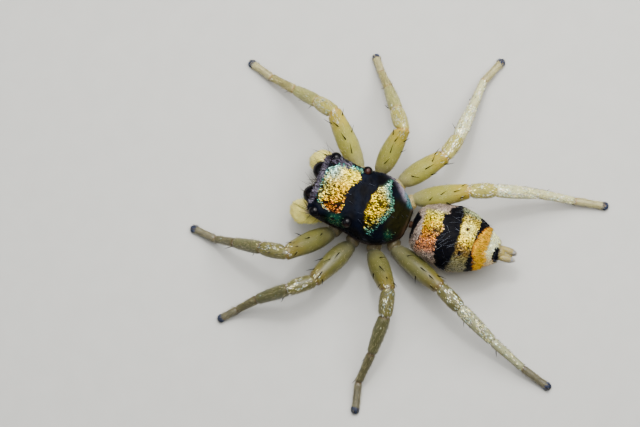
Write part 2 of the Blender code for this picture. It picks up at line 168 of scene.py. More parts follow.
# Palp of the left side: (x, y, z, radius)
PALP_STATIONS = (
    (0.385, -0.47, 0.62, 0.07),
    (0.455, -0.56, 0.63, 0.10),
    (0.53, -0.65, 0.635, 0.135),
    (0.575, -0.75, 0.635, 0.165),
    (0.59, -0.85, 0.63, 0.20),
    (0.585, -0.95, 0.61, 0.24),
    (0.575, -1.04, 0.57, 0.25),
    (0.565, -1.11, 0.51, 0.22),
    (0.555, -1.16, 0.44, 0.16),
    (0.545, -1.18, 0.37, 0.07),
)
PALP_COAT = 0.008

# Mouthparts of the left side, labium and waist: (x, y, z, radius)
CHELICERA_STATIONS = (
    (0.155, -0.82, 0.85, 0.108), (0.155, -0.835, 0.76, 0.126), (0.16, -0.86, 0.60, 0.124),
    (0.163, -0.895, 0.44, 0.098), (0.165, -0.915, 0.36, 0.065),
)
FANG_STATIONS = (
    (0.17, -0.93, 0.37, 0.028), (0.13, -0.94, 0.33, 0.024), (0.09, -0.92, 0.31, 0.018),
    (0.05, -0.89, 0.31, 0.006),
)
MAXILLA_STATIONS = (
    (0.13, -0.27, 0.57, 0.085), (0.14, -0.40, 0.56, 0.125), (0.155, -0.56, 0.54, 0.135),
    (0.16, -0.66, 0.53, 0.075),
)
LABIUM_STATIONS = ((0.0, -0.27, 0.53, 0.095), (0.0, -0.40, 0.525, 0.085), (0.0, -0.50, 0.52, 0.045))
PEDICEL_STATIONS = (
    (0.0, 1.22, 0.77, 0.078), (0.0, 1.30, 0.78, 0.07), (0.015, 1.38, 0.79, 0.078),
    (0.02, 1.45, 0.80, 0.08),
)

# Sternum: places along y and half its width there, its height and its greatest depth
STERNUM_Y = (-0.22, -0.05, 0.25, 0.57, 0.87, 1.02)
STERNUM_HALF_WIDTHS = (0.12, 0.22, 0.28, 0.27, 0.18, 0.06)
STERNUM_HEIGHT = 0.58
STERNUM_DEPTH = 0.175

# Spinnerets, from the abdomen's end: (distance behind it, radius)
COLLAR_STATIONS = ((-0.03, 0.165), (0.03, 0.163), (0.10, 0.125))
MIDDLE_STATIONS = ((0.02, 0.06), (0.14, 0.066), (0.23, 0.05), (0.28, 0.03))
# The two pairs: (aside, rise) of each root, then (share of that, distance behind, radius)
SPINNERET_PLACES = ((0.095, 0.06), (-0.095, 0.06), (0.08, -0.07), (-0.08, -0.07))
SPINNERET_STATIONS = (
    (1.0, 0.02, 0.064), (0.96, 0.12, 0.074), (0.92, 0.20, 0.072), (0.88, 0.27, 0.060),
    (0.85, 0.32, 0.036),
)

# The photograph's view
PIXELS_PER_MM = 46.5
FRAME_WIDTH, FRAME_HEIGHT = 640, 427
EYE_LINE_POINT = np.array((0.0, 0.0, 1.5))  # between the posterior lateral eyes
EYE_LINE_PIXEL = (357.3, 197.0)
VIEW_TILT_LEFT = radians(10.0)
VIEW_TILT_REAR = radians(5.0)
HEADING_IN_FRAME = radians(180.0 - 21.5)  # the spider's heading, anticlockwise from right
CAMERA_DISTANCE = 138.0
SENSOR_WIDTH = 36.0
LIGHT_TARGET = (0.0, 1.0, 0.8)

# Kinds of tuft: sides, rings, thickness as a share of its width, and the width along it
TUFTS = {
    "hair": (3, 3, 1.0, lambda share: (1 - share) ** 0.55),
    "scale": (4, 2, 0.18, lambda share: np.sin(np.pi * (0.2 + 0.78 * share)) ** 0.7),
    "spine": (6, 6, 1.0, lambda share: (1 - share) ** 0.7),
}
TUFT_PATCH = 0.003  # how wide each tuft is on the unwrap
LOWEST_TUFT = 0.004


def srgb(red, green, blue):
    """A display colour of 0 to 255 as linear numbers."""
    values = np.array((red, green, blue)) / 255.0
    return np.where(values <= 0.04045, values / 12.92, ((values + 0.055) / 1.055) ** 2.4)


BLACK = srgb(6, 6, 9)
BLUE_BLACK = srgb(8, 13, 25)
PURPLE_GREY = srgb(98, 88, 110)
GOLD = srgb(255, 200, 0)
PALE_GOLD = srgb(255, 230, 30)
WHITE_GOLD = srgb(255, 250, 140)
ORANGE = srgb(255, 148, 24)
COPPER = srgb(214, 124, 78)
TEAL = srgb(20, 190, 150)
CYAN = srgb(50, 220, 232)
WHITE_CYAN = srgb(205, 250, 232)
GREEN = srgb(34, 132, 100)
OLIVE = srgb(26, 25, 10)
BROWN = srgb(52, 36, 26)
MAUVE = srgb(152, 128, 124)
BEIGE = srgb(176, 168, 108)
AMBER = srgb(255, 186, 0)
YELLOW = srgb(255, 232, 50)
TAN = srgb(176, 146, 86)
# Colours of the cuticle of coxa, femur, patella, tibia, metatarsus and tarsus
LEG_PALETTE = np.array((srgb(164, 148, 92), srgb(162, 158, 70), srgb(172, 164, 78),
                        srgb(152, 150, 82), srgb(148, 140, 82), srgb(172, 164, 114)))
# Pale shin colour of each side; the left one is darker as painted shade
SHIN_COLOURS_WITH_LEFT_SHADE = {"right": srgb(190, 190, 146), "left": srgb(150, 152, 116)}
SILVER_TINTS = np.array((srgb(240, 243, 206), srgb(200, 226, 214), srgb(220, 208, 196),
                         srgb(246, 238, 160)))


def tipped(points):
    """Points of the level head-and-chest frame, carried into the tipped-up pose."""
    turn = np.array(Matrix.Rotation(-BODY_PITCH, 3, "X"))
    return (np.asarray(points) - PITCH_POINT) @ turn.T + PITCH_POINT


def mirrored(points, side):
    """Points of the left side, or the same mirrored to the right."""
    sign = 1.0 if side == "left" else -1.0
    return np.asarray(points, float) * (sign, 1.0, 1.0)


def frame_shift():
    """How far the frame moved the design, found from one eye whose place is known."""
    low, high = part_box("eye_anterior_median_left")
    centre = (np.array(low) + np.array(high)) / 2 / MM
    return centre - tipped(EYES[0][1])


SHIFT = frame_shift()


def at_scale(points):
    """Design millimetres to metres in the frame."""
    return (np.asarray(points) + SHIFT) * MM


def unit(vectors):
    """The vectors scaled to length one."""
    vectors = np.asarray(vectors, float)
    return vectors / np.maximum(np.linalg.norm(vectors, axis=-1, keepdims=True), 1e-9)


def ramp(values, low, high):
    """0 below low, 1 above high and a smooth curve between; low may be the higher one."""
    t = np.clip((values - low) / (high - low), 0.0, 1.0)
    return t * t * (3 - 2 * t)


def window(values, low, high, soft):
    """1 between low and high, 0 outside, with soft edges."""
    return ramp(values, low - soft, low + soft) * ramp(values, high + soft, high - soft)


def spot(first, second, at_first, at_second, radius):
    """A soft round spot in two coordinates, 1 at its middle."""
    return np.exp(-(((first - at_first) ** 2 + (second - at_second) ** 2) / radius**2))


def blend(a, b, share):
    """Mixes two colours, or arrays of them, by an array of shares."""
    share = np.asarray(share)[..., None]
    return np.asarray(a) * (1 - share) + np.asarray(b) * share


def layered(colour, *layers):
    """A colour with others laid over it in turn, each given with its share."""
    for other, share in layers:
        colour = blend(colour, other, share)
    return colour


def split(marks):
    """The three numbers of each mark as three arrays."""
    return marks[..., 0], marks[..., 1], marks[..., 2]


def ripple(points, size, seed):
    """Smooth noise of about -1 to 1 with features of the given size: a sum of random waves."""
    rng = np.random.default_rng(seed)
    total = np.zeros(np.shape(points)[:-1])
    for _ in range(10):
        wave = unit(rng.normal(size=3)) * 2 * math.pi / size * rng.uniform(0.6, 1.5)
        total += np.sin(points @ wave + rng.uniform(0, 2 * math.pi))
    return total / 3.2


def chance(rng, shape):
    """Random shares for scales, or one half everywhere for the skin under them."""
    return np.full(shape, 0.5) if rng is None else rng.random(shape)


def painted_glints(rng, shape, dim=0.34):
    """How bright each scale is painted: a share of them, dim, is painted dark as if turned away from the
    light, the rest bright as painted glints.
    """
    draw = chance(rng, shape)
    return np.where(draw < dim, 0.02 + 0.25 * draw / dim, 0.60 + 0.40 * draw)[..., None]


def resample(stations, places):
    """Values of a Catmull-Rom curve through stations at places given in station numbers."""
    table = np.array(stations, float)
    last = len(table) - 1
    i = np.minimum(places.astype(int), last - 1)
    t = (places - i)[:, None]
    p0, p1, p2, p3 = (table[np.clip(i + k, 0, last)] for k in (-1, 0, 1, 2))
    return 0.5 * (2 * p1 + (p2 - p0) * t + (2 * p0 - 5 * p1 + 4 * p2 - p3) * t**2
                  + (3 * p1 - p0 - 3 * p2 + p3) * t**3)


def round_the(columns):
    """Angles evenly spaced round a full turn."""
    return 2 * np.pi * np.arange(columns) / columns


def folded(points):
    """The points, with those of the right side carried over to the left."""
    return np.concatenate((np.abs(points[..., :1]), points[..., 1:]), axis=-1)


def eye_distance(marks, centre):
    """Distance from level head points to the nearer one of a pair of eyes."""
    return np.linalg.norm(folded(marks) - centre, axis=-1)


def make_camera():
    """The photograph's view: nearly straight down, from a long way off for the object's size."""
    backward = unit(np.array((math.tan(VIEW_TILT_LEFT), math.tan(VIEW_TILT_REAR), 1.0)))
    ahead = np.array((0.0, -1.0, 0.0))
    ahead = unit(ahead - ahead.dot(backward) * backward)
    aside = np.cross(backward, ahead)
    turn_cos, turn_sin = math.cos(HEADING_IN_FRAME), math.sin(HEADING_IN_FRAME)
    right = turn_cos * ahead - turn_sin * aside
    up = turn_sin * ahead + turn_cos * aside
    offset_x = (FRAME_WIDTH / 2 - EYE_LINE_PIXEL[0]) / PIXELS_PER_MM
    offset_y = (FRAME_HEIGHT / 2 - EYE_LINE_PIXEL[1]) / PIXELS_PER_MM
    target = EYE_LINE_POINT + offset_x * right - offset_y * up
    data = bpy.data.cameras.new("camera")
    data.sensor_width = SENSOR_WIDTH
    data.lens = SENSOR_WIDTH * CAMERA_DISTANCE * PIXELS_PER_MM / FRAME_WIDTH
    data.clip_start = 0.02
    data.clip_end = 5.0
    camera = bpy.data.objects.new("camera", data)
    bpy.context.scene.collection.objects.link(camera)
    place = at_scale(target + CAMERA_DISTANCE * backward)
    axes = np.column_stack((right, up, backward))
    camera.matrix_world = Matrix.Translation(Vector(place)) @ Matrix(axes).to_4x4()
    bpy.context.scene.camera = camera


class Skin:
    """A closed surface as a grid: rows run along it from front to back, columns round it.

    marks holds, for each point, the three numbers that the markings and coats are laid out by.
    """

    def __init__(self, points, marks):
        self.points = np.asarray(points, float)
        self.marks = np.asarray(marks, float)
        along = np.gradient(self.points, axis=0)
        around = np.roll(self.points, -1, axis=1) - np.roll(self.points, 1, axis=1)
        normals = np.cross(around, along)
        outward = self.points - self.points.mean(axis=1, keepdims=True)
        sign = np.sign((normals * outward).sum()) or 1.0
        self.flipped = sign < 0
        self.normals = unit(normals * sign)
        self.along = unit(along)

    def push(self, distance):
        """A copy with each point moved along its normal."""
        return Skin(self.points + self.normals * np.asarray(distance)[..., None], self.marks)

    def roots(self, count, rng, weight=None):
        """Random root places: arrays of points, normals, directions, marks and unwrap places."""
        p = self.points
        rows, columns = p.shape[:2]
        east = np.roll(p, -1, axis=1)
        area = np.linalg.norm(np.cross(east[:-1] - p[:-1], p[1:] - p[:-1]), axis=-1)
        if weight is not None:
            area = area * np.clip(weight(self.marks[:-1]), 0, None)
        cells = rng.choice(area.size, size=count, p=area.ravel() / area.sum())
        i, j = cells // columns, cells % columns
        a, b = rng.random(count), rng.random(count)
        k = (j + 1) % columns

        def between(field):
            low = field[i, j] * (1 - b)[:, None] + field[i, k] * b[:, None]
            high = field[i + 1, j] * (1 - b)[:, None] + field[i + 1, k] * b[:, None]
            return low * (1 - a)[:, None] + high * a[:, None]

        return {
            "point": between(p),
            "normal": unit(between(self.normals)),
            "along": unit(between(self.along)),
            "mark": between(self.marks),
            "unwrap": np.column_stack(((j + b) / columns, (i + a) / (rows - 1))),
        }


def write_mesh(name, points, faces_by_size, colours=None, loop_uv=None, smooth=True):
    """An object from arrays: faces_by_size is a list of index arrays, one per polygon size."""
    mesh = bpy.data.meshes.new(name)
    points = at_scale(points)
    mesh.vertices.add(len(points))
    mesh.vertices.foreach_set("co", points.astype(np.float32).ravel())
    loops = np.concatenate([f.ravel() for f in faces_by_size])
    sizes = np.concatenate([np.full(len(f), f.shape[1]) for f in faces_by_size])
    mesh.loops.add(len(loops))
    mesh.loops.foreach_set("vertex_index", loops.astype(np.int32))
    mesh.polygons.add(len(sizes))
    starts = np.concatenate(([0], np.cumsum(sizes)[:-1]))
    mesh.polygons.foreach_set("loop_start", starts.astype(np.int32))
    mesh.polygons.foreach_set("use_smooth", np.full(len(sizes), smooth))
    mesh.update(calc_edges=True)
    if loop_uv is not None:
        layer = mesh.uv_layers.new(name="OFBake")
        layer.uv.foreach_set("vector", loop_uv.astype(np.float32).ravel())
    if colours is not None:
        attribute = mesh.color_attributes.new("marking", "FLOAT_COLOR", "POINT")
        rgba = np.column_stack((colours, np.ones(len(colours))))
        attribute.data.foreach_set("color", rgba.astype(np.float32).ravel())
    item = bpy.data.objects.new(name, mesh)
    bpy.context.scene.collection.objects.link(item)
    return item


def cover(name, skin, colours, material, replaced=()):
    """The skin's grid as a finished closed mesh, with its unwrap and its markings."""
    rows, columns = skin.points.shape[:2]
    index = np.arange(rows * columns).reshape(rows, columns)
    east = np.roll(index, -1, axis=1)
    quads = np.stack((index[:-1], east[:-1], east[1:], index[1:]), axis=-1).reshape(-1, 4)
    front, back = index[0][::-1][None], index[-1][None]
    if not skin.flipped:
        quads, front, back = quads[:, ::-1], front[:, ::-1], back[:, ::-1]
    places = []
    for faces in (quads, front, back):
        u = (faces % columns) / columns
        if faces.shape[1] == 4:
            u = u + ((u.max(axis=1, keepdims=True) - u) > 0.5)
        places.append(np.column_stack((u.ravel(), (faces // columns).ravel() / (rows - 1))))
    item = write_mesh(name, skin.points.reshape(-1, 3), [quads, front, back],
                      colours.reshape(-1, 3), np.concatenate(places))
    return finish_piece(item, material, replaced)


def turned(first, second, angles):
    """Two sets of directions at right angles, turned in their own plane."""
    cos, sin = np.cos(angles)[:, None], np.sin(angles)[:, None]
    return first * cos + second * sin, second * cos - first * sin


def tuft_faces(sides, rings):
    """The faces of one tuft: quads between its rings, triangles at its tip and the root's face."""
    side = np.arange(sides)
    after = (side + 1) % sides
    quads = [np.column_stack((r * sides + side, r * sides + after,
                              (r + 1) * sides + after, (r + 1) * sides + side))
             for r in range(rings - 1)]
    last = (rings - 1) * sides
    tips = np.column_stack((last + side, last + after, np.full(sides, rings * sides)))
    return np.concatenate(quads), tips, side[::-1][None]


def plant(name, roots, colours, rng, material, slot, length, width, lift=22.0, curl=24.0,
          kind="hair", yaw=0.25, roll=0.0, lie=1.0, sink=0.008):
    """Sets one tapered hair, spine or flat scale at each root, all in one finished mesh.

    lift and curl are the angles, in degrees, at which it leaves the skin and by which it then
    bends back. lie is 1 where it points down the skin's rows and -1 where it points up them.
    """
    sides, rings, thickness, profile = TUFTS[kind]
    count = len(roots["point"])
    normal = roots["normal"]
    forward = roots["along"] * lie
    forward = unit(forward - (forward * normal).sum(axis=1, keepdims=True) * normal)
    forward, aside = turned(forward, np.cross(normal, forward), rng.normal(0, yaw, count))
    upward, aside = turned(normal, aside, rng.normal(0, roll, count))
    lengths = length * rng.uniform(0.75, 1.2, count)
    lifts = np.radians(lift * rng.uniform(0.5, 1.5, count))
    curls = np.radians(curl * rng.uniform(0.7, 1.3, count))
    widths = width * rng.uniform(0.8, 1.2, count)
    shares = np.linspace(0, 1, rings + 1)
    around = round_the(sides)[None, :, None]
    centre = roots["point"] - normal * sink
    layers = []
    for ring, share in enumerate(shares[:-1]):
        angle = (lifts - curls * share)[:, None]
        if ring:
            step = np.sin(angle) * upward + np.cos(angle) * forward
            centre = centre + step * (lengths / rings)[:, None]
        over = np.cos(angle) * upward - np.sin(angle) * forward
        half = (widths / 2 * profile(share))[:, None, None]
        layers.append(centre[:, None, :] + half * (np.cos(around) * aside[:, None, :]
                      + thickness * np.sin(around) * over[:, None, :]))
    angle = (lifts - curls)[:, None]
    step = np.sin(angle) * upward + np.cos(angle) * forward
    layers.append((centre + step * (lengths / rings)[:, None])[:, None, :])
    points = np.concatenate(layers, axis=1)
    points[..., 2] = np.maximum(points[..., 2], LOWEST_TUFT)
    per = points.shape[1]
    offsets = (np.arange(count) * per)[:, None, None]
    groups = [(f[None] + offsets).reshape(-1, f.shape[1]) for f in tuft_faces(sides, rings)]
    u = np.concatenate((np.tile(np.cos(round_the(sides)), rings), [0.0])) / 2
    v = np.concatenate((np.repeat(shares[:-1], sides), [1.0])) - 0.5
    places = roots["unwrap"][:, None, :] + TUFT_PATCH * np.stack((u, v), axis=-1)[None]
    places = np.clip(places, 0.0, 1.0).reshape(-1, 2)
    loop_uv = np.concatenate([places[g.ravel()] for g in groups])
    item = write_mesh(name, points.reshape(-1, 3), groups, np.repeat(colours, per, axis=0), loop_uv,
                      smooth=kind != "scale")
    return finish_piece(item, material)


def grow(name, skin, count, seed, weight, colour, material, slot, length, width, **shape):
    """Plants tufts over a skin, as densely as weight(marks) says.

    colour is a pair of colours, of which each tuft has its own mix, or a function of (marks, rng).
    """
    rng = np.random.default_rng(seed)
    roots = skin.roots(count, rng, weight)
    paired = isinstance(colour, tuple)
    colours = blend(*colour, chance(rng, count)) if paired else colour(roots["mark"], rng)
    return plant(name, roots, colours, rng, material, slot, length, width, **shape)


# Materials

def new_material(name):
    """A node material, a function that adds a node to it and gives the node's outputs, and one that
    sets its shader's inputs."""
    material = bpy.data.materials.new(name)
    material.use_nodes = True
    nodes, links = material.node_tree.nodes, material.node_tree.links

    def fill(sockets, values):
        for key, value in values.items():
            if isinstance(value, bpy.types.NodeSocket):
                links.new(value, sockets[key])
            else:
                sockets[key].default_value = value

    def add(kind, values, **settings):
        node = nodes.new("ShaderNode" + kind)
        for key, value in settings.items():
            setattr(node, key, value)
        fill(node.inputs, values)
        return node.outputs

    def shade(values):
        fill(nodes["Principled BSDF"].inputs, values)

    return material, add, shade


def noise(add, scale, detail=3.0):
    """The height of a noise texture, whose scale is in features per millimetre."""
    place = add("TexCoord", {})["Object"]
    return add("TexNoise", {"Vector": place, "Scale": scale / MM, "Detail": detail})["Fac"]


def follow(add, height, low, high, start=0.3, end=0.7):
    """A number that goes from low to high as a height goes from start to end."""
    return add("MapRange", {"Value": height, "From Min": start, "From Max": end, "To Min": low,
                            "To Max": high})[0]


def vary(add, colour, height, low, high):
    """A colour whose brightness follows a height between low and high."""
    level = follow(add, height, low, high)
    return add("VectorMath", {0: colour, "Scale": level}, operation="SCALE")[0]


def marked_material(name, roughness, metallic=0.0, coat=0.0, subsurface=0.0, specular=0.5,
                    grain=60.0, relief=0.0, spread=0.15):
    """A surface coloured by its markings, with fine grain in colour, gloss and relief."""
    material, add, shade = new_material(name)
    colour = add("Attribute", {}, attribute_name="marking")["Color"]
    fine = noise(add, grain)
    colour = vary(add, colour, fine, 1 - spread, 1 + spread)
    colour = vary(add, colour, noise(add, grain / 9), 0.88, 1.12)
    shade({"Base Color": colour, "Roughness": follow(add, fine, roughness - 0.07, roughness + 0.07),
           "Metallic": metallic, "Coat Weight": coat, "Coat Roughness": 0.12,
           "Specular IOR Level": specular, "Subsurface Weight": subsurface,
           "Subsurface Radius": (1.0, 0.75, 0.35), "Subsurface Scale": 0.08 * MM})
    if relief:
        bump = {"Height": fine, "Strength": 0.6, "Distance": relief * MM}
        shade({"Normal": add("Bump", bump)["Normal"]})
    return material


def eye_material():
    """A black, glossy lens with a faint brown depth, and on one eye a painted reddish reflection."""
    material, add, shade = new_material("eye_lens")
    colour = add("Attribute", {}, attribute_name="marking")["Color"]
    fine = noise(add, 14.0)
    shade({"Base Color": vary(add, colour, fine, 0.7, 1.3), "Specular IOR Level": 0.12,
           "Roughness": follow(add, fine, 0.07, 0.12, 0.0, 1.0)})
    return material


def floor_material():
    """Pale matt floor."""
    material, add, shade = new_material("pale_floor")
    colour = vary(add, srgb(176, 176, 172), noise(add, 2.0, detail=5.0), 0.98, 1.02)
    shade({"Base Color": colour, "Roughness": 0.8, "Specular IOR Level": 0.2})
    return material


MATERIALS = {
    "cuticle": marked_material("dark_cuticle", 0.42, specular=0.02, grain=90, relief=0.004),
    "scale": marked_material("iridescent_scale", 0.28, metallic=0.7, specular=0.04, grain=40,
                             spread=0.3),
    "abdomen": marked_material("abdomen_skin", 0.55, subsurface=0.02, specular=0.05, grain=70,
                               relief=0.005),
    "leg": marked_material("leg_cuticle", 0.42, coat=0.05, subsurface=0.4, specular=0.35,
                           grain=45, relief=0.003),
    "silver": marked_material("silver_scale", 0.32, metallic=0.35, grain=40, spread=0.2),
    "hair": marked_material("pale_hair", 0.5, grain=30, specular=0.25),
    "gold_hair": marked_material("gold_hair", 0.42, metallic=0.4, specular=0.04, grain=30),
    "dark_hair": marked_material("dark_hair", 0.8, grain=30, specular=0.01),
    "eye": eye_material(),
    "floor": floor_material(),
}


def finish_piece(item, material, replaced=()):
    """Gives a piece its material, lets it ride, and replaces the solids it stands for."""
    item.data.materials.append(MATERIALS[material])
    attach(item, BODY)
    if replaced:
        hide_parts(*replaced)
    return item


# Head and chest

def carapace_bands(marks):
    """Shares of the two gold bands, the depth behind the first's front and before the second's rear."""
    x, y, z = split(marks)
    wavy = y + 0.02 * ripple(marks, 0.2, 11)
    front = -0.94 + 2.7 * np.clip(np.abs(x) - 0.2, 0, None) ** 2
    rear = -0.19 - 0.14 * ramp(x, -0.38, -0.02)
    first = window(wavy, front, rear, 0.02) * window(x, -0.60, 0.53, 0.03) * ramp(z, 1.25, 1.38)
    second_front = 0.19 + 0.5 * (x - 0.08) ** 2
    second_rear = 0.76 - np.where(x < -0.05, 0.62, 0.38) * np.abs(x + 0.05)
    second_rear = np.maximum(second_rear, 0.50)
    second = window(wavy, second_front, second_rear, 0.02) * window(x, -0.68, 0.66, 0.03)
    return first, second, y - front, second_rear - y


def carapace_colour(marks, rng=None):
    """The gold of the bands, which turns white, teal and copper towards their ends and edges; brighter
    on the right partly as painted highlight, darker on the left partly as painted shade.
    """
    x, y, _ = split(marks)
    _, _, behind, ahead = carapace_bands(marks)
    shape = x.shape
    jitter = 0.14 * (chance(rng, shape) - 0.5)
    cool = layered(TEAL, (CYAN, chance(rng, shape) ** 2), (WHITE_CYAN, 0.5 * chance(rng, shape)))
    gold = blend(GOLD, PALE_GOLD, chance(rng, shape))
    first = layered(
        gold,
        (WHITE_GOLD, 0.6 * spot(x + jitter, y, 0.1, -0.80, 0.16)),
        (WHITE_CYAN, spot(x + jitter, y, -0.33, -0.76, 0.19)),
        (AMBER, 0.6 * spot(x + jitter, y, 0.05, -0.42, 0.24)),
        # Partly painted highlight: bright yellow on the first band's right
        (YELLOW, spot(x, y, -0.40, -0.38, 0.18)),
        (ORANGE, ramp(x + 2 * jitter, 0.18, 0.42) * ramp(y, -0.8, -0.6)),
        # Partly painted shade: darker copper on the first band's left
        (COPPER * 0.8, 0.8 * ramp(x + 2 * jitter, 0.28, 0.46) * ramp(y, -0.65, -0.4)),
        (cool, np.maximum(ramp(behind + jitter, 0.14, 0.0), ramp(-x + jitter, 0.46, 0.56))),
    )
    second = layered(
        gold,
        # Partly painted highlight: white-gold on the second band's right end
        (WHITE_GOLD, 0.8 * ramp(-x - 0.6 * ahead + jitter, -0.12, 0.22)),
        (WHITE_CYAN, 0.8 * ramp(-x + jitter, 0.32, 0.50)),
        (cool, 0.9 * np.maximum(ramp(ahead + jitter, 0.19, 0.02), ramp(x + jitter, 0.46, 0.60))),
    )
    # Painted shade and glints: more dark scales on the left, fewer at the front right
    dim = 0.40 - 0.22 * spot(x, y, -0.38, -0.55, 0.34) + 0.12 * ramp(x, 0.0, 0.4)
    return blend(first, second, ramp(y, 0.0, 0.1)) * painted_glints(rng, shape, dim)


def flank_patches(marks):
    """Shares of the turquoise and the green patches on the sides and rear of the chest."""
    x, y, z = split(marks)
    right = spot(x, y, -0.54, 0.92, 0.07) + spot(x, y, -0.46, 1.01, 0.07) + spot(x, y, -0.36, 1.06, 0.06)
    left = 0.8 * spot(x, y, 0.47, 0.86, 0.07)
    green = spot(x, y, 0.70, -0.33, 0.13) * ramp(z, 1.08, 1.26)
    return np.clip(right + left, 0, 1), np.clip(green, 0, 1)


def carapace_ground(marks):
    """The cuticle's own colour: black, olive behind, paler at the margin, dark gold under scales."""
    x, y, z = split(marks)
    first, second, _, _ = carapace_bands(marks)
    turquoise, green = flank_patches(marks)
    noisy = ripple(marks, 0.30, 5)
    margin = ramp(z + 0.03 * noisy, 1.40, 1.05) * ramp(x, -0.3, -0.5)
    return layered(
        BLACK,
        (BLUE_BLACK, np.clip(0.5 + 0.5 * noisy, 0, 1)),
        (OLIVE, ramp(y, 0.62, 0.85) * ramp(np.abs(x - 0.05), 0.5, 0.2)),
        (BROWN, 0.8 * ramp(z + 0.03 * noisy, 1.05, 0.90)),
        (srgb(156, 144, 164), 0.85 * margin * ramp(y, 0.2, 0.5)),
        (blend(srgb(50, 112, 118), GREEN * 0.4, (x > 0) * 1.0), 0.8 * turquoise),
        (GREEN * 0.4, 0.9 * green),
        (0.03 * carapace_colour(marks), np.maximum(first, second)),
    )


def clear_of_eyes(marks, room=1.3):
    """0 on the eyes out to room times their radius, and under the margin; 1 elsewhere."""
    keep = ramp(marks[..., 2], 0.88, 0.94)
    for _, centre, radius, _, _ in EYES:
        distance = eye_distance(marks, centre) / radius
        keep = keep * ramp(distance, room - 0.1, room + 0.1)
    return keep


def ridge_distance(marks):
    """Distance to the line that each front side eye's ridge runs along."""
    start = np.array(EYES[1][1])
    run = RIDGE_END - start
    reach = folded(marks) - start
    share = np.clip((reach @ run) / (run @ run), 0, 1)
    return np.linalg.norm(reach - share[..., None] * run, axis=-1)


def clear_of_rises(marks):
    """0 on the eyes, on the ridges behind them and under the margin; 1 elsewhere."""
    return clear_of_eyes(marks) * ramp(ridge_distance(marks), 0.07, 0.11)


def carapace_grid():
    """The carapace's level surface as rows of rings, with rounded ends."""
    body_rows, face_rows, rear_rows, dome, under = 130, 26, 14, 132, 36

    def ring(y, half_width, margin, top, squareness):
        angle = np.pi * np.arange(dome) / (dome - 1)
        c, s = np.cos(angle), np.sin(angle)
        reach = (np.abs(c) ** squareness + np.abs(s) ** squareness) ** (-1 / squareness)
        share = np.arange(1, under + 1) / (under + 1)
        x = np.concatenate((half_width * reach * c, half_width * (2 * share - 1)))
        z = np.concatenate((margin + (top - margin) * reach * s,
                            margin - 0.012 * np.sin(np.pi * share)))
        return np.column_stack((x, np.full(len(x), y), z))

    def cap(station, depth, squareness, rows):
        base = ring(*station)
        centre = np.array((0.0, station[0], (station[2] + station[3]) / 2))
        layers = []
        for i in range(rows):
            angle = np.pi / 2 * (i + 0.35) / rows
            layer = centre + (base - centre) * math.sin(angle) ** (2 / squareness)
            layer[:, 1] = station[0] + depth * math.cos(angle) ** (2 / squareness)
            layers.append(layer)
        return layers

    face = cap(CARAPACE_STATIONS[0], -FACE_DEPTH, FACE_SQUARENESS, face_rows)
    rear = cap(CARAPACE_STATIONS[-1], REAR_DEPTH, REAR_SQUARENESS, rear_rows)
    body = resample(CARAPACE_STATIONS, np.linspace(0, len(CARAPACE_STATIONS) - 1, body_rows))
    return np.array(face + [ring(*row) for row in body] + rear[::-1])


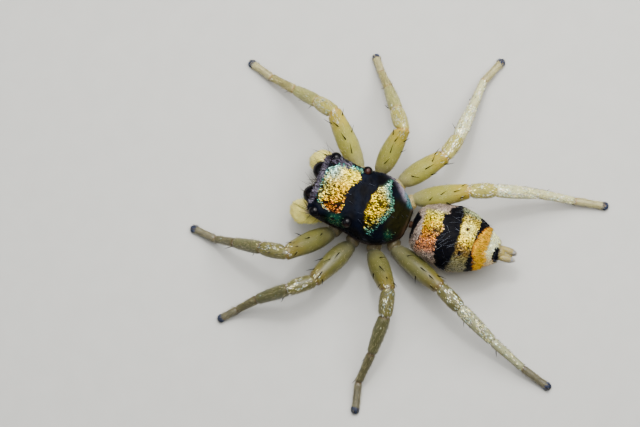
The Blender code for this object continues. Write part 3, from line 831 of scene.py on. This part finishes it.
def build_carapace():
    """The shield over the head and chest, with its collars round the eyes and its coat."""
    level = carapace_grid()
    x, y, z = split(level)
    lift = 0.004 * ripple(level, 0.12, 3)
    for _, centre, radius, _, collar in EYES:
        distance = eye_distance(level, centre)
        lift += collar * np.exp(-(((distance - radius * 1.12) / (0.35 * radius + 0.012)) ** 2))
    lift += 0.035 * np.exp(-((ridge_distance(level) / 0.10) ** 4))
    lift -= 0.02 * np.exp(-((x / 0.02) ** 2) - (((y - 0.33) / 0.09) ** 2)) * (z > 1.2)
    pushed = Skin(level, level).push(lift)
    skin = Skin(tipped(pushed.points), level)
    cover("carapace_skin", skin, carapace_ground(level), "cuticle", ("carapace",))

    def band_weight(marks):
        x, y, _ = split(marks)
        first, second, _, _ = carapace_bands(marks)
        dense = 0.55 + 0.8 * spot(x, y, -0.35, -0.65, 0.32) - 0.25 * spot(x, y, 0.38, -0.40, 0.20)
        dense += 0.5 * spot(x, y, -0.40, -0.38, 0.18) - 0.3 * spot(x, y, 0.15, -0.25, 0.18)
        dense -= 0.45 * spot(x, y, -0.04, 0.41, 0.12) + 0.25 * ramp(x, 0.15, 0.45) * (y > 0)
        patchy = np.clip(dense + 0.22 * ripple(marks, 0.09, 21), 0.06, 1.4)
        return np.maximum(first, second) * patchy * clear_of_rises(marks)

    grow("carapace_scales", skin, 3000, 31, band_weight, carapace_colour, "scale", "shell",
         0.052, 0.0155, lift=12, curl=8, kind="scale", yaw=0.25, roll=0.32, sink=0.002)

    def flank_colour(marks, rng):
        turquoise, green = flank_patches(marks)
        cool = blend(srgb(70, 170, 165), srgb(120, 140, 175), chance(rng, turquoise.shape))
        cool = blend(cool, blend(GREEN, BEIGE, 0.5 * chance(rng, green.shape)),
                     np.maximum(green, marks[..., 0] > 0))
        return cool * painted_glints(rng, turquoise.shape, 0.5)

    grow("chest_flank_scales", skin, 520, 41,
         lambda marks: sum(flank_patches(marks)) * clear_of_eyes(marks), flank_colour, "scale", "shell",
         0.050, 0.020, lift=8, curl=8, kind="scale", roll=0.15, sink=0.002)

    def rim_weight(marks):
        x, y, z = split(marks)
        front = ramp(y, -0.84, -0.90) * ramp(z, 1.38, 1.45)
        behind_eye = window(ridge_distance(marks), 0.05, 0.16, 0.03) * ramp(x, 0.3, 0.0) * (y < -0.4)
        return (front * ramp(x, 0.52, 0.42) + 0.6 * behind_eye) * clear_of_eyes(marks, 1.04)

    def rim_colour(marks, rng):
        shape = marks.shape[:-1]
        return blend(PURPLE_GREY, srgb(52, 50, 66), chance(rng, shape)) * painted_glints(rng, shape, 0.45)

    grow("head_rim_scales", skin, 1500, 51, rim_weight, rim_colour, "silver", "shell",
         0.105, 0.013, lift=16, curl=8, kind="scale", yaw=0.4, roll=0.4, lie=-1.0, sink=0.002)

    def black_weight(marks):
        first, second, _, _ = carapace_bands(marks)
        return (1 - np.maximum(first, second)) * clear_of_rises(marks)

    grow("carapace_hairs", skin, 1800, 61, black_weight, (BLACK, BLUE_BLACK),
         "dark_hair", "shell", 0.08, 0.010, lift=14, curl=20)
    grow("carapace_pale_hairs", skin, 60, 71, black_weight,
         (srgb(84, 90, 106), srgb(50, 56, 70)), "hair", "shell", 0.16, 0.006, lift=22, curl=28)

    def bristle_weight(marks):
        near = np.zeros(marks.shape[:-1])
        for _, centre, radius, _, _ in EYES[:2]:
            near = np.maximum(near, window(eye_distance(marks, centre) / radius, 1.1, 1.8, 0.05))
        return near * (marks[..., 2] > 1.15) * ramp(marks[..., 1], -0.6, -0.8)

    grow("face_bristles", skin, 72, 81, bristle_weight, (BLACK, BROWN * 0.4),
         "dark_hair", "shell", 0.44, 0.012, lift=22, curl=12, kind="spine", yaw=0.6, lie=-1.0)
    grow("clypeus_hairs", skin, 900, 91,
         lambda marks: (marks[..., 1] < -0.86) & (marks[..., 2] < 1.12),
         (srgb(205, 192, 150), srgb(170, 158, 128)), "hair", "shell", 0.12, 0.009, lift=30, lie=-1.0)


def build_eyes():
    """Eight lenses, each a ball slightly drawn out along the way it looks."""
    rows, columns = 40, 56
    for name, centre, radius, gaze, _ in EYES:
        for side in SIDES:
            axis = unit(mirrored(gaze, side))
            polar = (np.pi * (np.arange(rows) + 0.25) / (rows - 0.5))[:, None, None]
            level = unit(np.cross(axis, (0.0, 0.0, 1.0)))
            turn = round_the(columns)[None, :, None]
            ring = np.cos(turn) * level + np.sin(turn) * np.cross(level, axis)
            drawn = 1.0 + 0.05 * np.clip(np.cos(polar), 0, 1) ** 2
            points = np.sin(polar) * ring + np.cos(polar) * drawn * axis
            marks = np.broadcast_to(np.cos(polar), points.shape)
            skin = Skin(tipped(mirrored(centre, side)) + radius * points, marks)
            # Painted reflection: the right posterior lateral lens is tinted reddish brown on the side
            # facing up; the others get a faint brown depth round their gaze
            reddish_reflection = name == "posterior_lateral" and side == "right"
            tint = srgb(46, 22, 16) if reddish_reflection else srgb(24, 14, 12)
            inner = points @ unit((0.1, 0.15, 1.0)) if reddish_reflection else marks[..., 0]
            colours = blend(srgb(7, 7, 10), tint, ramp(inner, 0.76, 0.96))
            cover(f"lens_{name}_{side}", skin, colours, "eye", (f"eye_{name}_{side}",))


# Abdomen

def abdomen_axes():
    """The abdomen's rearward, leftward and upward directions."""
    turn = Matrix.Rotation(ABDOMEN_YAW, 3, "Z") @ Matrix.Rotation(-ABDOMEN_DROP, 3, "X")
    turn = np.array(turn)
    return turn @ (0, 1, 0), turn @ (1, 0, 0), turn @ (0, 0, 1)


def abdomen_zones(marks):
    """Shares of the abdomen's bands, from marks of (across to the left, behind the front, up)."""
    w, d, h = split(marks)
    p = d + 0.018 * ripple(marks, 0.16, 71) + 0.012 * ripple(marks, 0.05, 72)
    upper = ramp(h, -0.25, -0.10)
    first_end = 0.54 + 0.07 * spot(w, 0, 0, 0, 0.13)
    first_end = first_end + 0.7 * (np.clip(-w - 0.32, 0, None) + np.clip(w - 0.50, 0, None))
    second_start = 0.98 - 0.25 * np.clip(np.abs(w) - 0.5, 0, None)
    second_end = 1.32 + 0.05 * ramp(w, -0.15, -0.25)
    orange_start = 1.375 + 0.65 * (w - 0.12) ** 2
    wide = upper * ramp(h + 0.1 * ripple(marks, 0.2, 73), -0.40, -0.26)
    black = window(p, first_end, second_start, 0.012) * wide
    black = black + window(p, second_end, orange_start, 0.012) * wide
    # Painted shadow: a black patch on the abdomen's front, where the carapace shades it
    front = np.hypot((w + 0.04) / 0.30, (h - 0.04) / 0.36) + 0.10 * ripple(marks, 0.18, 74)
    black = black + ramp(front, 1.10, 0.95) * ramp(p, 0.22, 0.15)
    black = black + ramp(np.hypot((w - 0.11) / 0.18, (d - 1.89) / 0.078), 1.1, 0.9) * (h > 0)
    return {
        "black": np.clip(black, 0, 1),
        "first": window(p, 0.16, first_end, 0.015) * window(w, -0.39, 0.50, 0.07) * (h > 0),
        "second": window(p, second_start, second_end, 0.015) * window(w, -0.66, 0.52, 0.06) * (h > 0),
        "orange": window(p, orange_start, 1.625, 0.015) * upper,
        "pale": window(p, 1.625, 1.90, 0.02) * upper,
        "upper": upper,
    }


def sigilla(marks):
    """Share of the small dark dents on the abdomen's back."""
    w, d, h = split(marks)
    total = np.zeros(w.shape)
    for dent_w, dent_d, radius in DENTS:
        distance = np.hypot(w - dent_w, d - dent_d)
        total = np.maximum(total, ramp(distance, radius * 1.3, radius * 0.8) * (h > 0))
    return total


def abdomen_colour(marks, rng=None):
    """The scales' colour: gold bands that run from white-gold on the right, partly a painted highlight,
    to copper on the left.
    """
    w, d, _ = split(marks)
    shape = w.shape
    zones = abdomen_zones(marks)
    jitter = 0.16 * (chance(rng, shape) - 0.5)
    first = layered(
        GOLD,
        (ORANGE, ramp(w + 2 * jitter, -0.12, 0.20)),
        (PALE_GOLD, chance(rng, shape) ** 2 * ramp(w, 0.3, 0.0)),
        # Partly painted highlight: pale and white gold on the first band's right
        (PALE_GOLD, ramp(w + jitter, -0.08, -0.24)),
        (WHITE_GOLD, 0.8 * ramp(w + jitter, -0.22, -0.42)),
        (srgb(255, 168, 118), ramp(w + 2 * jitter, 0.14, 0.44)),
        (MAUVE * 0.4, 0.7 * spot(w, d, 0.05, 0.50, 0.12)),
    )
    second = layered(
        GOLD,
        (PALE_GOLD, chance(rng, shape)),
        # Partly painted highlight: white-gold on the second band's top right
        (WHITE_GOLD, 0.8 * spot(w + jitter, d, -0.20, 1.15, 0.20)),
        (srgb(176, 140, 66), ramp(w + jitter, 0.10, 0.26)),
        (BEIGE, ramp(w + jitter, 0.36, 0.50)),
        (srgb(222, 236, 178), ramp(-w + jitter, 0.40, 0.58)),
    )
    rearward = ramp(d, 0.85, 1.0)
    rest = blend(MAUVE, srgb(196, 178, 156), chance(rng, shape))
    rest = blend(rest, blend(BEIGE, srgb(200, 192, 140), chance(rng, shape)), rearward)
    # Painted shade: the rear part of the left flank is darker
    rest = blend(rest, rest * 0.5, ramp(w, 0.30, 0.50) * rearward)
    # Painted shade: more dark scales towards the left
    dim = 0.22 + 0.16 * zones["second"] * ramp(w, 0.08, 0.25) + 0.08 * zones["first"]
    dim = dim + 0.26 * ramp(w, 0.0, 0.3) * ramp(d, 0.7, 0.5) * (1 - zones["first"])
    scales = layered(rest, (first, zones["first"]), (second, zones["second"]))
    scales = scales * painted_glints(rng, shape, np.clip(dim, 0.05, 0.6))
    white = layered(WHITE_GOLD, (srgb(232, 246, 240), chance(rng, shape)),
                    (srgb(206, 164, 124), ramp(w + jitter, 0.16, 0.30)))
    orange = blend(ORANGE, GOLD, 0.35 * chance(rng, shape))
    return layered(scales, (white, zones["pale"]), (orange, zones["orange"]))


def abdomen_ground(marks):
    """The abdomen's skin: darker under the gold, pale on the belly, black in the bands and dents, and
    black as painted shadow on its front.
    """
    w, d, h = split(marks)
    zones = abdomen_zones(marks)
    cloudy = np.clip(0.5 + 0.5 * ripple(marks, 0.2, 81), 0, 1)
    speckle = np.clip(0.5 + 0.5 * ripple(marks, 0.06, 82), 0, 1)
    scales = abdomen_colour(marks)
    low = 0.40 * zones["second"] * ramp(w, 0.10, 0.30) * speckle
    under = scales * (0.03 + 0.08 * speckle + low)[..., None]
    return layered(
        srgb(200, 184, 132),
        (srgb(186, 152, 132), cloudy),
        (0.45 * scales, zones["upper"]),
        (under, np.maximum(zones["first"], zones["second"])),
        (srgb(150, 92, 6), zones["orange"]),
        (srgb(186, 186, 140), zones["pale"]),
        (srgb(150, 80, 26), 0.6 * spot(w, d, -0.17, 1.12, 0.06) * (h > 0)),
        (BLACK, zones["black"]),
        (srgb(14, 10, 10), sigilla(marks)),
    )


def build_abdomen():
    """The abdomen's skin, its scales, its orange fringe and its hairs."""
    back, across, up = abdomen_axes()
    rows, columns, caps = 150, 168, 8
    inner = resample(ABDOMEN_STATIONS, np.linspace(0, len(ABDOMEN_STATIONS) - 1, rows))
    turn = round_the(columns)

    def ring(distance, half_width, half_height):
        rise = half_height * np.sin(turn) * np.where(np.sin(turn) < 0, BELLY_SHARE, 1.0)
        return np.column_stack((half_width * np.cos(turn), np.full(columns, distance), rise))

    first, last = inner[0], inner[-1]
    inward = (np.arange(caps) + 0.3) / caps
    front = [ring(first[0] - 0.012 * (1 - s**2), first[1] * s, first[2] * s) for s in inward]
    rear = [ring(last[0] + 0.012 * (1 - s**2), last[1] * s, last[2] * s) for s in inward[::-1]]
    marks = np.array(front + [ring(*row) for row in inner] + rear)
    skin = Skin(ABDOMEN_FRONT + marks @ np.array((across, back, up)), marks)
    lift = 0.006 * ripple(marks, 0.22, 91) + 0.002 * ripple(marks, 0.06, 92) - 0.012 * sigilla(marks)
    fold = np.sin(marks[..., 1] * 2 * np.pi / FOLD_SPACING) * ramp(marks[..., 2], 0.1, -0.2)
    skin = skin.push(lift + 0.003 * fold - ABDOMEN_COAT)
    cover("abdomen_skin", skin, abdomen_ground(marks), "abdomen", ("abdomen",))

    def scale_weight(marks):
        w, d, _ = split(marks)
        zones = abdomen_zones(marks)
        dense = 0.55 + 0.6 * spot(w, d, -0.28, 0.42, 0.2) + 0.5 * spot(w, d, -0.15, 1.15, 0.25)
        dense = dense - 0.4 * spot(w, d, 0.03, 0.50, 0.12) - 0.35 * spot(w, d, 0.32, 1.15, 0.14)
        patchy = np.clip(dense + 0.22 * ripple(marks, 0.08, 95), 0.08, 1.5)
        bands = zones["first"] + zones["second"] + zones["pale"]
        return bands * patchy * (1 - zones["black"]) * (1 - sigilla(marks))

    grow("abdomen_scales", skin, 4400, 101, scale_weight, abdomen_colour, "scale", "abdomen",
         0.045, 0.019, lift=10, curl=8, kind="scale", yaw=0.6, roll=0.3, sink=0.002)

    def flank_weight(marks):
        zones = abdomen_zones(marks)
        rest = 1 - zones["first"] - zones["second"] - zones["pale"] - zones["orange"]
        return zones["upper"] * np.clip(rest - zones["black"], 0, 1) * (marks[..., 1] < 1.9)

    grow("abdomen_flank_scales", skin, 3000, 111, flank_weight, abdomen_colour, "silver", "abdomen",
         0.055, 0.024, lift=10, curl=8, kind="scale", yaw=0.6, roll=0.2, sink=0.002)

    def orange_colour(marks, rng):
        shape = marks.shape[:-1]
        orange = blend(srgb(255, 212, 40), srgb(250, 176, 16), chance(rng, shape))
        return orange * painted_glints(rng, shape, 0.18)

    grow("abdomen_orange_hairs", skin, 2600, 121,
         lambda marks: abdomen_zones(marks)["orange"] * (1 - abdomen_zones(marks)["black"]),
         orange_colour, "gold_hair", "abdomen", 0.10, 0.013, lift=22, curl=24, yaw=0.3)

    def black_weight(marks):
        return abdomen_zones(marks)["black"] * (marks[..., 1] > 0.2)

    grow("abdomen_black_hairs", skin, 2400, 131, black_weight, (BLACK, BLUE_BLACK),
         "dark_hair", "abdomen", 0.09, 0.010, lift=14, curl=20)
    grow("abdomen_white_hairs", skin, 70, 141, black_weight,
         (srgb(120, 126, 138), srgb(52, 56, 68)), "hair", "abdomen",
         0.36, 0.005, lift=16, curl=20, yaw=0.75)
    grow("abdomen_pale_hairs", skin, 2200, 151,
         lambda marks: (ramp(marks[..., 2], 0.15, -0.1) + 0.06) * (1 - abdomen_zones(marks)["black"]),
         (srgb(210, 196, 160), srgb(180, 166, 136)), "hair", "abdomen", 0.10, 0.007, yaw=0.4)


# Legs

def leg_points(side, number):
    """The coxa's root, the hip and the ends of the leg's segments down to the claw tip."""
    points = [
        tipped(mirrored((*COXA_ROOTS[number], COXA_HEIGHT), side)),
        tipped(mirrored((*HIPS[number], HIP_HEIGHT), side)),
    ]
    headings, heights = LEG_POSES[side, number]
    for length, heading, height in zip(LEG_LENGTHS[number], headings, heights + (TIP_HEIGHT,)):
        rise = height - points[-1][2]
        run = math.sqrt(length**2 - rise**2)
        angle = radians(heading)
        step = mirrored((run * math.sin(angle), -run * math.cos(angle), rise), side)
        points.append(points[-1] + step)
    return points


def leg_skin(side, number):
    """A leg as one skin from coxa to claw tip, with a soft groove at each joint.

    Its marks are (segment number plus share along it, sine and cosine of the angle round it);
    the sine is 1 on top.
    """
    points = leg_points(side, number)
    runs = [unit(b - a) for a, b in zip(points, points[1:])]
    halving = [runs[0]] + [unit(a + b) for a, b in zip(runs, runs[1:])] + [runs[-1]]
    columns, rows_each, reach, tip_rows, tip_length = 40, 26, 0.26, 7, 0.06
    turn = round_the(columns)[:, None]
    level = unit(np.cross(runs[0], (0.0, 0.0, 1.0)))
    upward = np.cross(level, runs[0])
    layers, marks = [], []
    for i, direction in enumerate(runs):
        if i:
            axis = np.cross(runs[i - 1], direction)
            angle = math.asin(min(1.0, float(np.linalg.norm(axis))))
            swing = Matrix.Rotation(angle, 3, Vector(axis)) if angle > 1e-6 else Matrix.Identity(3)
            level = np.array(swing @ Vector(level))
            upward = np.cross(level, direction)
        length = float(np.linalg.norm(points[i + 1] - points[i]))
        share = np.linspace(0, 1, rows_each, endpoint=(i == len(runs) - 1))
        share = share - 0.35 * np.sin(2 * np.pi * share) / (2 * np.pi)
        table = np.array(LEG_RADII[i])
        radii = resample(table, np.interp(share, table[:, 0], np.arange(len(table))))[:, 1]
        for t, radius in zip(share, radii - LEG_COAT):
            start, end = t * length, (1 - t) * length
            for gap, inner in ((start, i > 0), (end, i < len(runs) - 1)):
                if inner:
                    radius *= 1 - 0.16 * math.exp(-((gap / 0.028) ** 2))
                    radius *= 1 + 0.035 * math.exp(-(((gap - 0.075) / 0.035) ** 2))
            normal = direction.copy()
            for gap, plane in ((start, halving[i]), (end, halving[i + 1])):
                pull = float(ramp(gap, min(reach, 0.48 * length), 0.0))
                normal = normal + pull * (plane - direction)
            normal = unit(normal)
            centre = points[i] + t * (points[i + 1] - points[i])
            ring = centre + radius * (np.cos(turn) * level + np.sin(turn) * upward)
            slide = ((centre - ring) @ normal) / float(direction @ normal)
            layers.append(ring + slide[:, None] * direction)
            place = np.full((columns, 1), i + min(t, 0.999))
            marks.append(np.hstack((place, np.sin(turn), np.cos(turn))))
    for k in range(1, tip_rows + 1):
        angle = np.pi / 2 * k / (tip_rows + 0.4)
        radius = (LEG_RADII[-1][-1][1] - LEG_COAT) * math.cos(angle)
        centre = points[-1] + tip_length * math.sin(angle) * runs[-1]
        layers.append(centre + radius * (np.cos(turn) * level + np.sin(turn) * upward))
        marks.append(marks[-1])
    points = np.array(layers)
    points[..., 2] = np.maximum(points[..., 2], 0.0)
    return Skin(points, np.array(marks))


def segment_of(marks):
    """The segment number and the share along it, from a leg's marks."""
    segment = np.minimum(marks[..., 0].astype(int), TARSUS)
    return segment, marks[..., 0] - segment


def leg_colour(marks, side, number):
    """Leg cuticle: olive-yellow thighs, clear pale shins, pinkish feet, amber joints."""
    segment, share = segment_of(marks)
    top = marks[..., 1]
    thigh = segment == FEMUR
    joint = np.minimum(share, 1 - share)
    colour = layered(
        LEG_PALETTE[segment],
        (srgb(186, 164, 50), 0.7 * thigh * ramp(share, 0.62, 0.92)),
        (srgb(160, 156, 108), 0.8 * thigh * ramp(share, 0.45, 0.0)),
        (srgb(200, 156, 62), 0.6 * (segment >= PATELLA) * ramp(top, -0.1, -0.8)),
        (srgb(160, 104, 40), 0.5 * ramp(joint, 0.07, 0.01) * (marks[..., 0] > 1.2)),
    )
    mottle = np.clip(ripple(marks * (1.0, 0.5, 0.5), 0.8, 200 + number), 0, 1)
    colour = blend(colour, colour * 0.75, 0.5 * mottle)
    # Painted shade: the left legs are darker than the right ones, the rear three most
    colour = colour * LEG_TONES_WITH_LEFT_SHADE[side] * (REAR_LEFT_SHADE if side == "left" and number > 1 else 1.0)
    if (side, number) not in SILVER_SHINS:
        return colour
    shin = (segment == TIBIA) | (segment == METATARSUS)
    return blend(colour, SHIN_COLOURS_WITH_LEFT_SHADE[side], 0.8 * shin * ramp(top, -0.1, 0.6))


def roots_at(skin, i, j):
    """Roots at chosen rows and columns of a skin."""
    rows, columns = skin.points.shape[:2]
    return {"point": skin.points[i, j], "normal": skin.normals[i, j], "along": skin.along[i, j],
            "unwrap": np.column_stack((j / columns, i / (rows - 1)))}


def spine_roots(skin, rng):
    """Roots of the black spines at their named places on a leg."""
    columns = skin.points.shape[1]
    place = SPINES[:, 0] + SPINES[:, 1] + rng.normal(0, 0.02, len(SPINES))
    i = np.abs(skin.marks[:, :1, 0] - place).argmin(axis=0)
    j = np.round((SPINES[:, 2] + rng.normal(0, 6, len(SPINES))) / 360 * columns).astype(int) % columns
    return roots_at(skin, i, j)


def build_leg(side, number):
    """One leg: skin, spines, silver scales, fine hairs, claws and the tuft round them."""
    key = 10 * number + SIDES.index(side)
    label = f"leg_{side}_{number}"
    skin = leg_skin(side, number)
    cover(f"{label}_skin", skin, leg_colour(skin.marks, side, number), "leg",
          [f"{label}_{name}" for name in CAD_SEGMENTS])

    rng = np.random.default_rng(300 + key)
    roots = spine_roots(skin, rng)
    plant(f"{label}_spines", roots, np.tile(srgb(12, 10, 9), (len(SPINES), 1)), rng, "dark_hair",
          "leg", SPINES[:, 3], 0.024, lift=36, curl=14, kind="spine", yaw=0.2)

    on_shin = (side, number) in SILVER_SHINS

    def silver_weight(marks):
        segment, share = segment_of(marks)
        dense = SILVER_DENSITY[on_shin][segment]
        dense = dense * np.where(segment == FEMUR, ramp(share, 0.78, 0.90), 1.0)
        patchy = np.clip(0.5 + 0.9 * ripple(marks * (1.0, 0.4, 0.4), 0.35, 40 + key), 0.1, 1.5)
        return dense * ramp(marks[..., 1], *((0.2, 0.75) if on_shin else (0.5, 0.9))) * patchy

    def silver_colour(marks, rng):
        # Painted shade: the left legs' silver scales are dimmer, with more of them dark
        tone, dim = (1.25, 0.12) if side == "right" else (1.1, 0.42)
        tone = tone if on_shin else tone * 0.6
        tint = SILVER_TINTS[rng.integers(0, len(SILVER_TINTS), len(marks))]
        return tint * tone * painted_glints(rng, marks.shape[:-1], dim)

    grow(f"{label}_scales", skin, 520 if on_shin else 130, 400 + key, silver_weight, silver_colour,
         "silver", "leg", 0.065, 0.018, lift=10, curl=8, kind="scale", roll=0.2, sink=0.002)

    def hair_colour(marks, rng):
        dark = (rng.random(len(marks)) < 0.25)[:, None]
        # Painted shade: the pale hairs of the left legs are darker
        pale = srgb(200, 190, 140) * (0.5 if side == "left" else 1.0)
        return np.where(dark, srgb(60, 48, 34), pale)

    grow(f"{label}_hairs", skin, 1100, 500 + key,
         lambda marks: HAIR_DENSITY[segment_of(marks)[0]], hair_colour, "hair", "leg",
         0.095, 0.006, lift=30, curl=22)
    roots = roots_at(skin, np.full(2, len(skin.points) - 4), np.array(CLAW_COLUMNS))
    plant(f"{label}_claws", roots, np.tile(srgb(20, 12, 8), (2, 1)), rng, "cuticle", "foot",
          0.085, 0.022, lift=30, curl=75, kind="spine", yaw=0.05)
    grow(f"{label}_claw_tuft", skin, 320, 600 + key, lambda marks: marks[..., 0] > TARSUS + 0.86,
         (srgb(20, 25, 44), srgb(64, 76, 106)), "hair", "foot", 0.075, 0.013, lift=34, curl=34)


# Palps, mouthparts and spinnerets

def tube_skin(stations, rows, columns, tip):
    """A closed rounded tube through stations of (x, y, z, radius), its marks as on a leg."""
    table = resample(stations, np.linspace(0, len(stations) - 1, rows))
    centres, radii = table[:, :3], table[:, 3]
    direction = unit(np.gradient(centres, axis=0))
    turn = round_the(columns)[:, None]
    layers, marks = [], []

    def ring(centre, axis, radius, place):
        level = unit(np.cross(axis, (0.0, 0.0, 1.0) if abs(axis[2]) < 0.97 else (0.0, 1.0, 0.0)))
        layers.append(centre + radius * (np.cos(turn) * level + np.sin(turn) * np.cross(level, axis)))
        marks.append(np.hstack((np.full((columns, 1), place), np.sin(turn), np.cos(turn))))

    cap = np.pi / 2 * np.arange(1, 6) / 5.3
    for angle in cap[::-1]:
        ring(centres[0] - direction[0] * tip * math.sin(angle), direction[0],
             radii[0] * math.cos(angle), 0.0)
    for i in range(rows):
        ring(centres[i], direction[i], radii[i], i / (rows - 1))
    for angle in cap:
        ring(centres[-1] + direction[-1] * tip * math.sin(angle), direction[-1],
             radii[-1] * math.cos(angle), 1.0)
    return Skin(np.array(layers), np.array(marks))


def cover_tube(name, stations, grid, tip, colours, material="leg", replaced=(),
               ends=(0.0, 1.0)):
    """A finished tube that turns from the first to the second of its colours between two places."""
    skin = tube_skin(stations, *grid, tip)
    shades = blend(*colours, ramp(skin.marks[..., 0], *ends))
    cover(name, skin, shades, material, replaced)
    return skin


def on_side(stations, side, coat=0.0):
    """Stations of the left side of the head and chest, tipped up, on either side, less a coat."""
    return [(*tipped(mirrored(row[:3], side)), row[3] - coat) for row in stations]


def build_palps():
    """The two palps with their pale hairs."""
    for index, side in enumerate(SIDES):
        skin = cover_tube(f"palp_{side}_skin", on_side(PALP_STATIONS, side, PALP_COAT), (60, 44), 0.04,
                          (srgb(196, 184, 100), srgb(228, 220, 128)),
                          replaced=(f"palp_{side}",), ends=(0.2, 0.6))
        grow(f"palp_{side}_hairs", skin, 1500, 700 + index,
             lambda marks: ramp(marks[..., 0], 0.1, 0.6) + 0.2,
             (srgb(242, 234, 142), srgb(220, 206, 104)), "hair", "palp", 0.11, 0.010, lift=34, curl=30)


def build_underside():
    """Chelicerae with fangs, maxillae, labium, sternum and waist."""
    for index, side in enumerate(SIDES):
        skin = cover_tube(f"chelicera_{side}_skin", on_side(CHELICERA_STATIONS, side), (40, 36), 0.03,
                          (srgb(150, 108, 48), srgb(90, 54, 26)), replaced=(f"chelicera_{side}",),
                          ends=(0.2, 1.0))
        grow(f"chelicera_{side}_hairs", skin, 260, 720 + index, None,
             (srgb(196, 180, 130), srgb(160, 146, 104)), "hair", "mouth", 0.10, 0.008, lift=28)
        cover_tube(f"fang_{side}", on_side(FANG_STATIONS, side), (24, 16), 0.006,
                   (srgb(90, 36, 20), srgb(24, 10, 8)), "cuticle")
        cover_tube(f"maxilla_{side}", on_side(MAXILLA_STATIONS, side), (30, 28), 0.02, (TAN, TAN * 1.1),
                   replaced=("mouthparts",) if side == "left" else ())
    cover_tube("labium", on_side(LABIUM_STATIONS, "left"), (20, 28), 0.02, (TAN, TAN * 0.8))
    cover_tube("pedicel_skin", PEDICEL_STATIONS, (20, 24), 0.01, (BROWN, BROWN * 1.2), "cuticle",
               replaced=("pedicel",))

    rows, columns = 60, 48
    y = np.linspace(STERNUM_Y[0], STERNUM_Y[-1], rows)
    half = np.interp(y, STERNUM_Y, STERNUM_HALF_WIDTHS)
    turn = round_the(columns)
    reach = (np.abs(np.cos(turn)) ** 3 + np.abs(np.sin(turn)) ** 3) ** (-1 / 3)
    deep = (STERNUM_DEPTH * (half / max(STERNUM_HALF_WIDTHS)) ** 0.15)[:, None]
    level = np.stack((half[:, None] * (reach * np.cos(turn)), np.tile(y[:, None], (1, columns)),
                      STERNUM_HEIGHT + deep * (reach * np.sin(turn))), axis=-1)
    skin = Skin(tipped(level), level)
    cover("sternum_skin", skin, blend(TAN, TAN * 0.8, np.abs(ripple(level, 0.3, 740)).clip(0, 1)),
          "leg", ("sternum",))
    grow("sternum_hairs", skin, 400, 741, lambda marks: marks[..., 2] < 0.5,
         (srgb(196, 180, 136), srgb(170, 156, 116)), "hair", "mouth", 0.10, 0.007)


def build_spinnerets():
    """Two pairs of spinnerets and a small middle one, on a short collar."""
    back, across, up = abdomen_axes()
    end = ABDOMEN_FRONT + ABDOMEN_LENGTH * back

    def place(aside, rise, behind, radius):
        return (*(end + aside * across + rise * up + behind * back), radius)

    olive = srgb(138, 124, 66)
    cover_tube("spinneret_collar", [place(0, 0, *row) for row in COLLAR_STATIONS], (20, 48), 0.02,
               (srgb(134, 120, 78), olive), replaced=("spinnerets",))
    cover_tube("spinneret_middle", [place(0, 0.02, *row) for row in MIDDLE_STATIONS], (24, 28), 0.015,
               (olive, olive * 0.7), ends=(0.5, 1.0))
    for index, (aside, rise) in enumerate(SPINNERET_PLACES):
        stations = [place(aside * spread, rise * spread, *row) for spread, *row in SPINNERET_STATIONS]
        skin = cover_tube(f"spinneret_{index + 1}", stations, (30, 28), 0.015,
                          (olive, srgb(136, 144, 160)), ends=(0.66, 0.92))
        grow(f"spinneret_{index + 1}_hairs", skin, 220, 750 + index, lambda marks: marks[..., 0] + 0.1,
             (srgb(180, 168, 140), srgb(130, 130, 140)), "hair", "mouth", 0.08, 0.007)


# Floor and lights

def build_floor():
    """A wide level floor just under the feet."""
    size = 400.0
    corners = np.array(((-size, -size, 0.0), (size, -size, 0.0), (size, size, 0.0), (-size, size, 0.0)))
    floor = write_mesh("floor", corners, [np.array(((0, 1, 2, 3),))])
    floor.data.materials.append(MATERIALS["floor"])


def area_light(name, place, size, power, colour):
    """A round soft light at a place in millimetres, aimed at the middle of the spider."""
    data = bpy.data.lights.new(name, "AREA")
    data.shape = "DISK"
    data.size = size * MM
    data.energy = power
    data.color = colour
    light = bpy.data.objects.new(name, data)
    bpy.context.scene.collection.objects.link(light)
    light.location = Vector(at_scale(place))
    aim = Vector(at_scale(LIGHT_TARGET)) - light.location
    light.rotation_euler = aim.to_track_quat("-Z", "Y").to_euler()


def make_lights():
    """Soft studio light: a broad key high on the right, a small lamp in it for the highlights on
    eyes and scales, a weak fill opposite and a pale surround."""
    area_light("key", (-13.0, 3.0, 33.0), 46.0, 0.042, (1.0, 0.98, 0.95))
    area_light("sparkle", (-11.0, -4.0, 35.0), 5.0, 0.007, (1.0, 0.99, 0.97))
    area_light("fill", (16.0, -22.0, 24.0), 30.0, 0.003, (0.93, 0.97, 1.0))
    world = bpy.data.worlds.new("surround")
    world.use_nodes = True
    background = world.node_tree.nodes["Background"]
    background.inputs["Color"].default_value = (0.92, 0.95, 1.0, 1.0)
    background.inputs["Strength"].default_value = 0.16
    bpy.context.scene.world = world


make_camera()
build_carapace()
build_eyes()
build_abdomen()
build_spinnerets()
build_palps()
build_underside()
for leg_side in SIDES:
    for leg_number in COXA_ROOTS:
        build_leg(leg_side, leg_number)
build_floor()
make_lights()
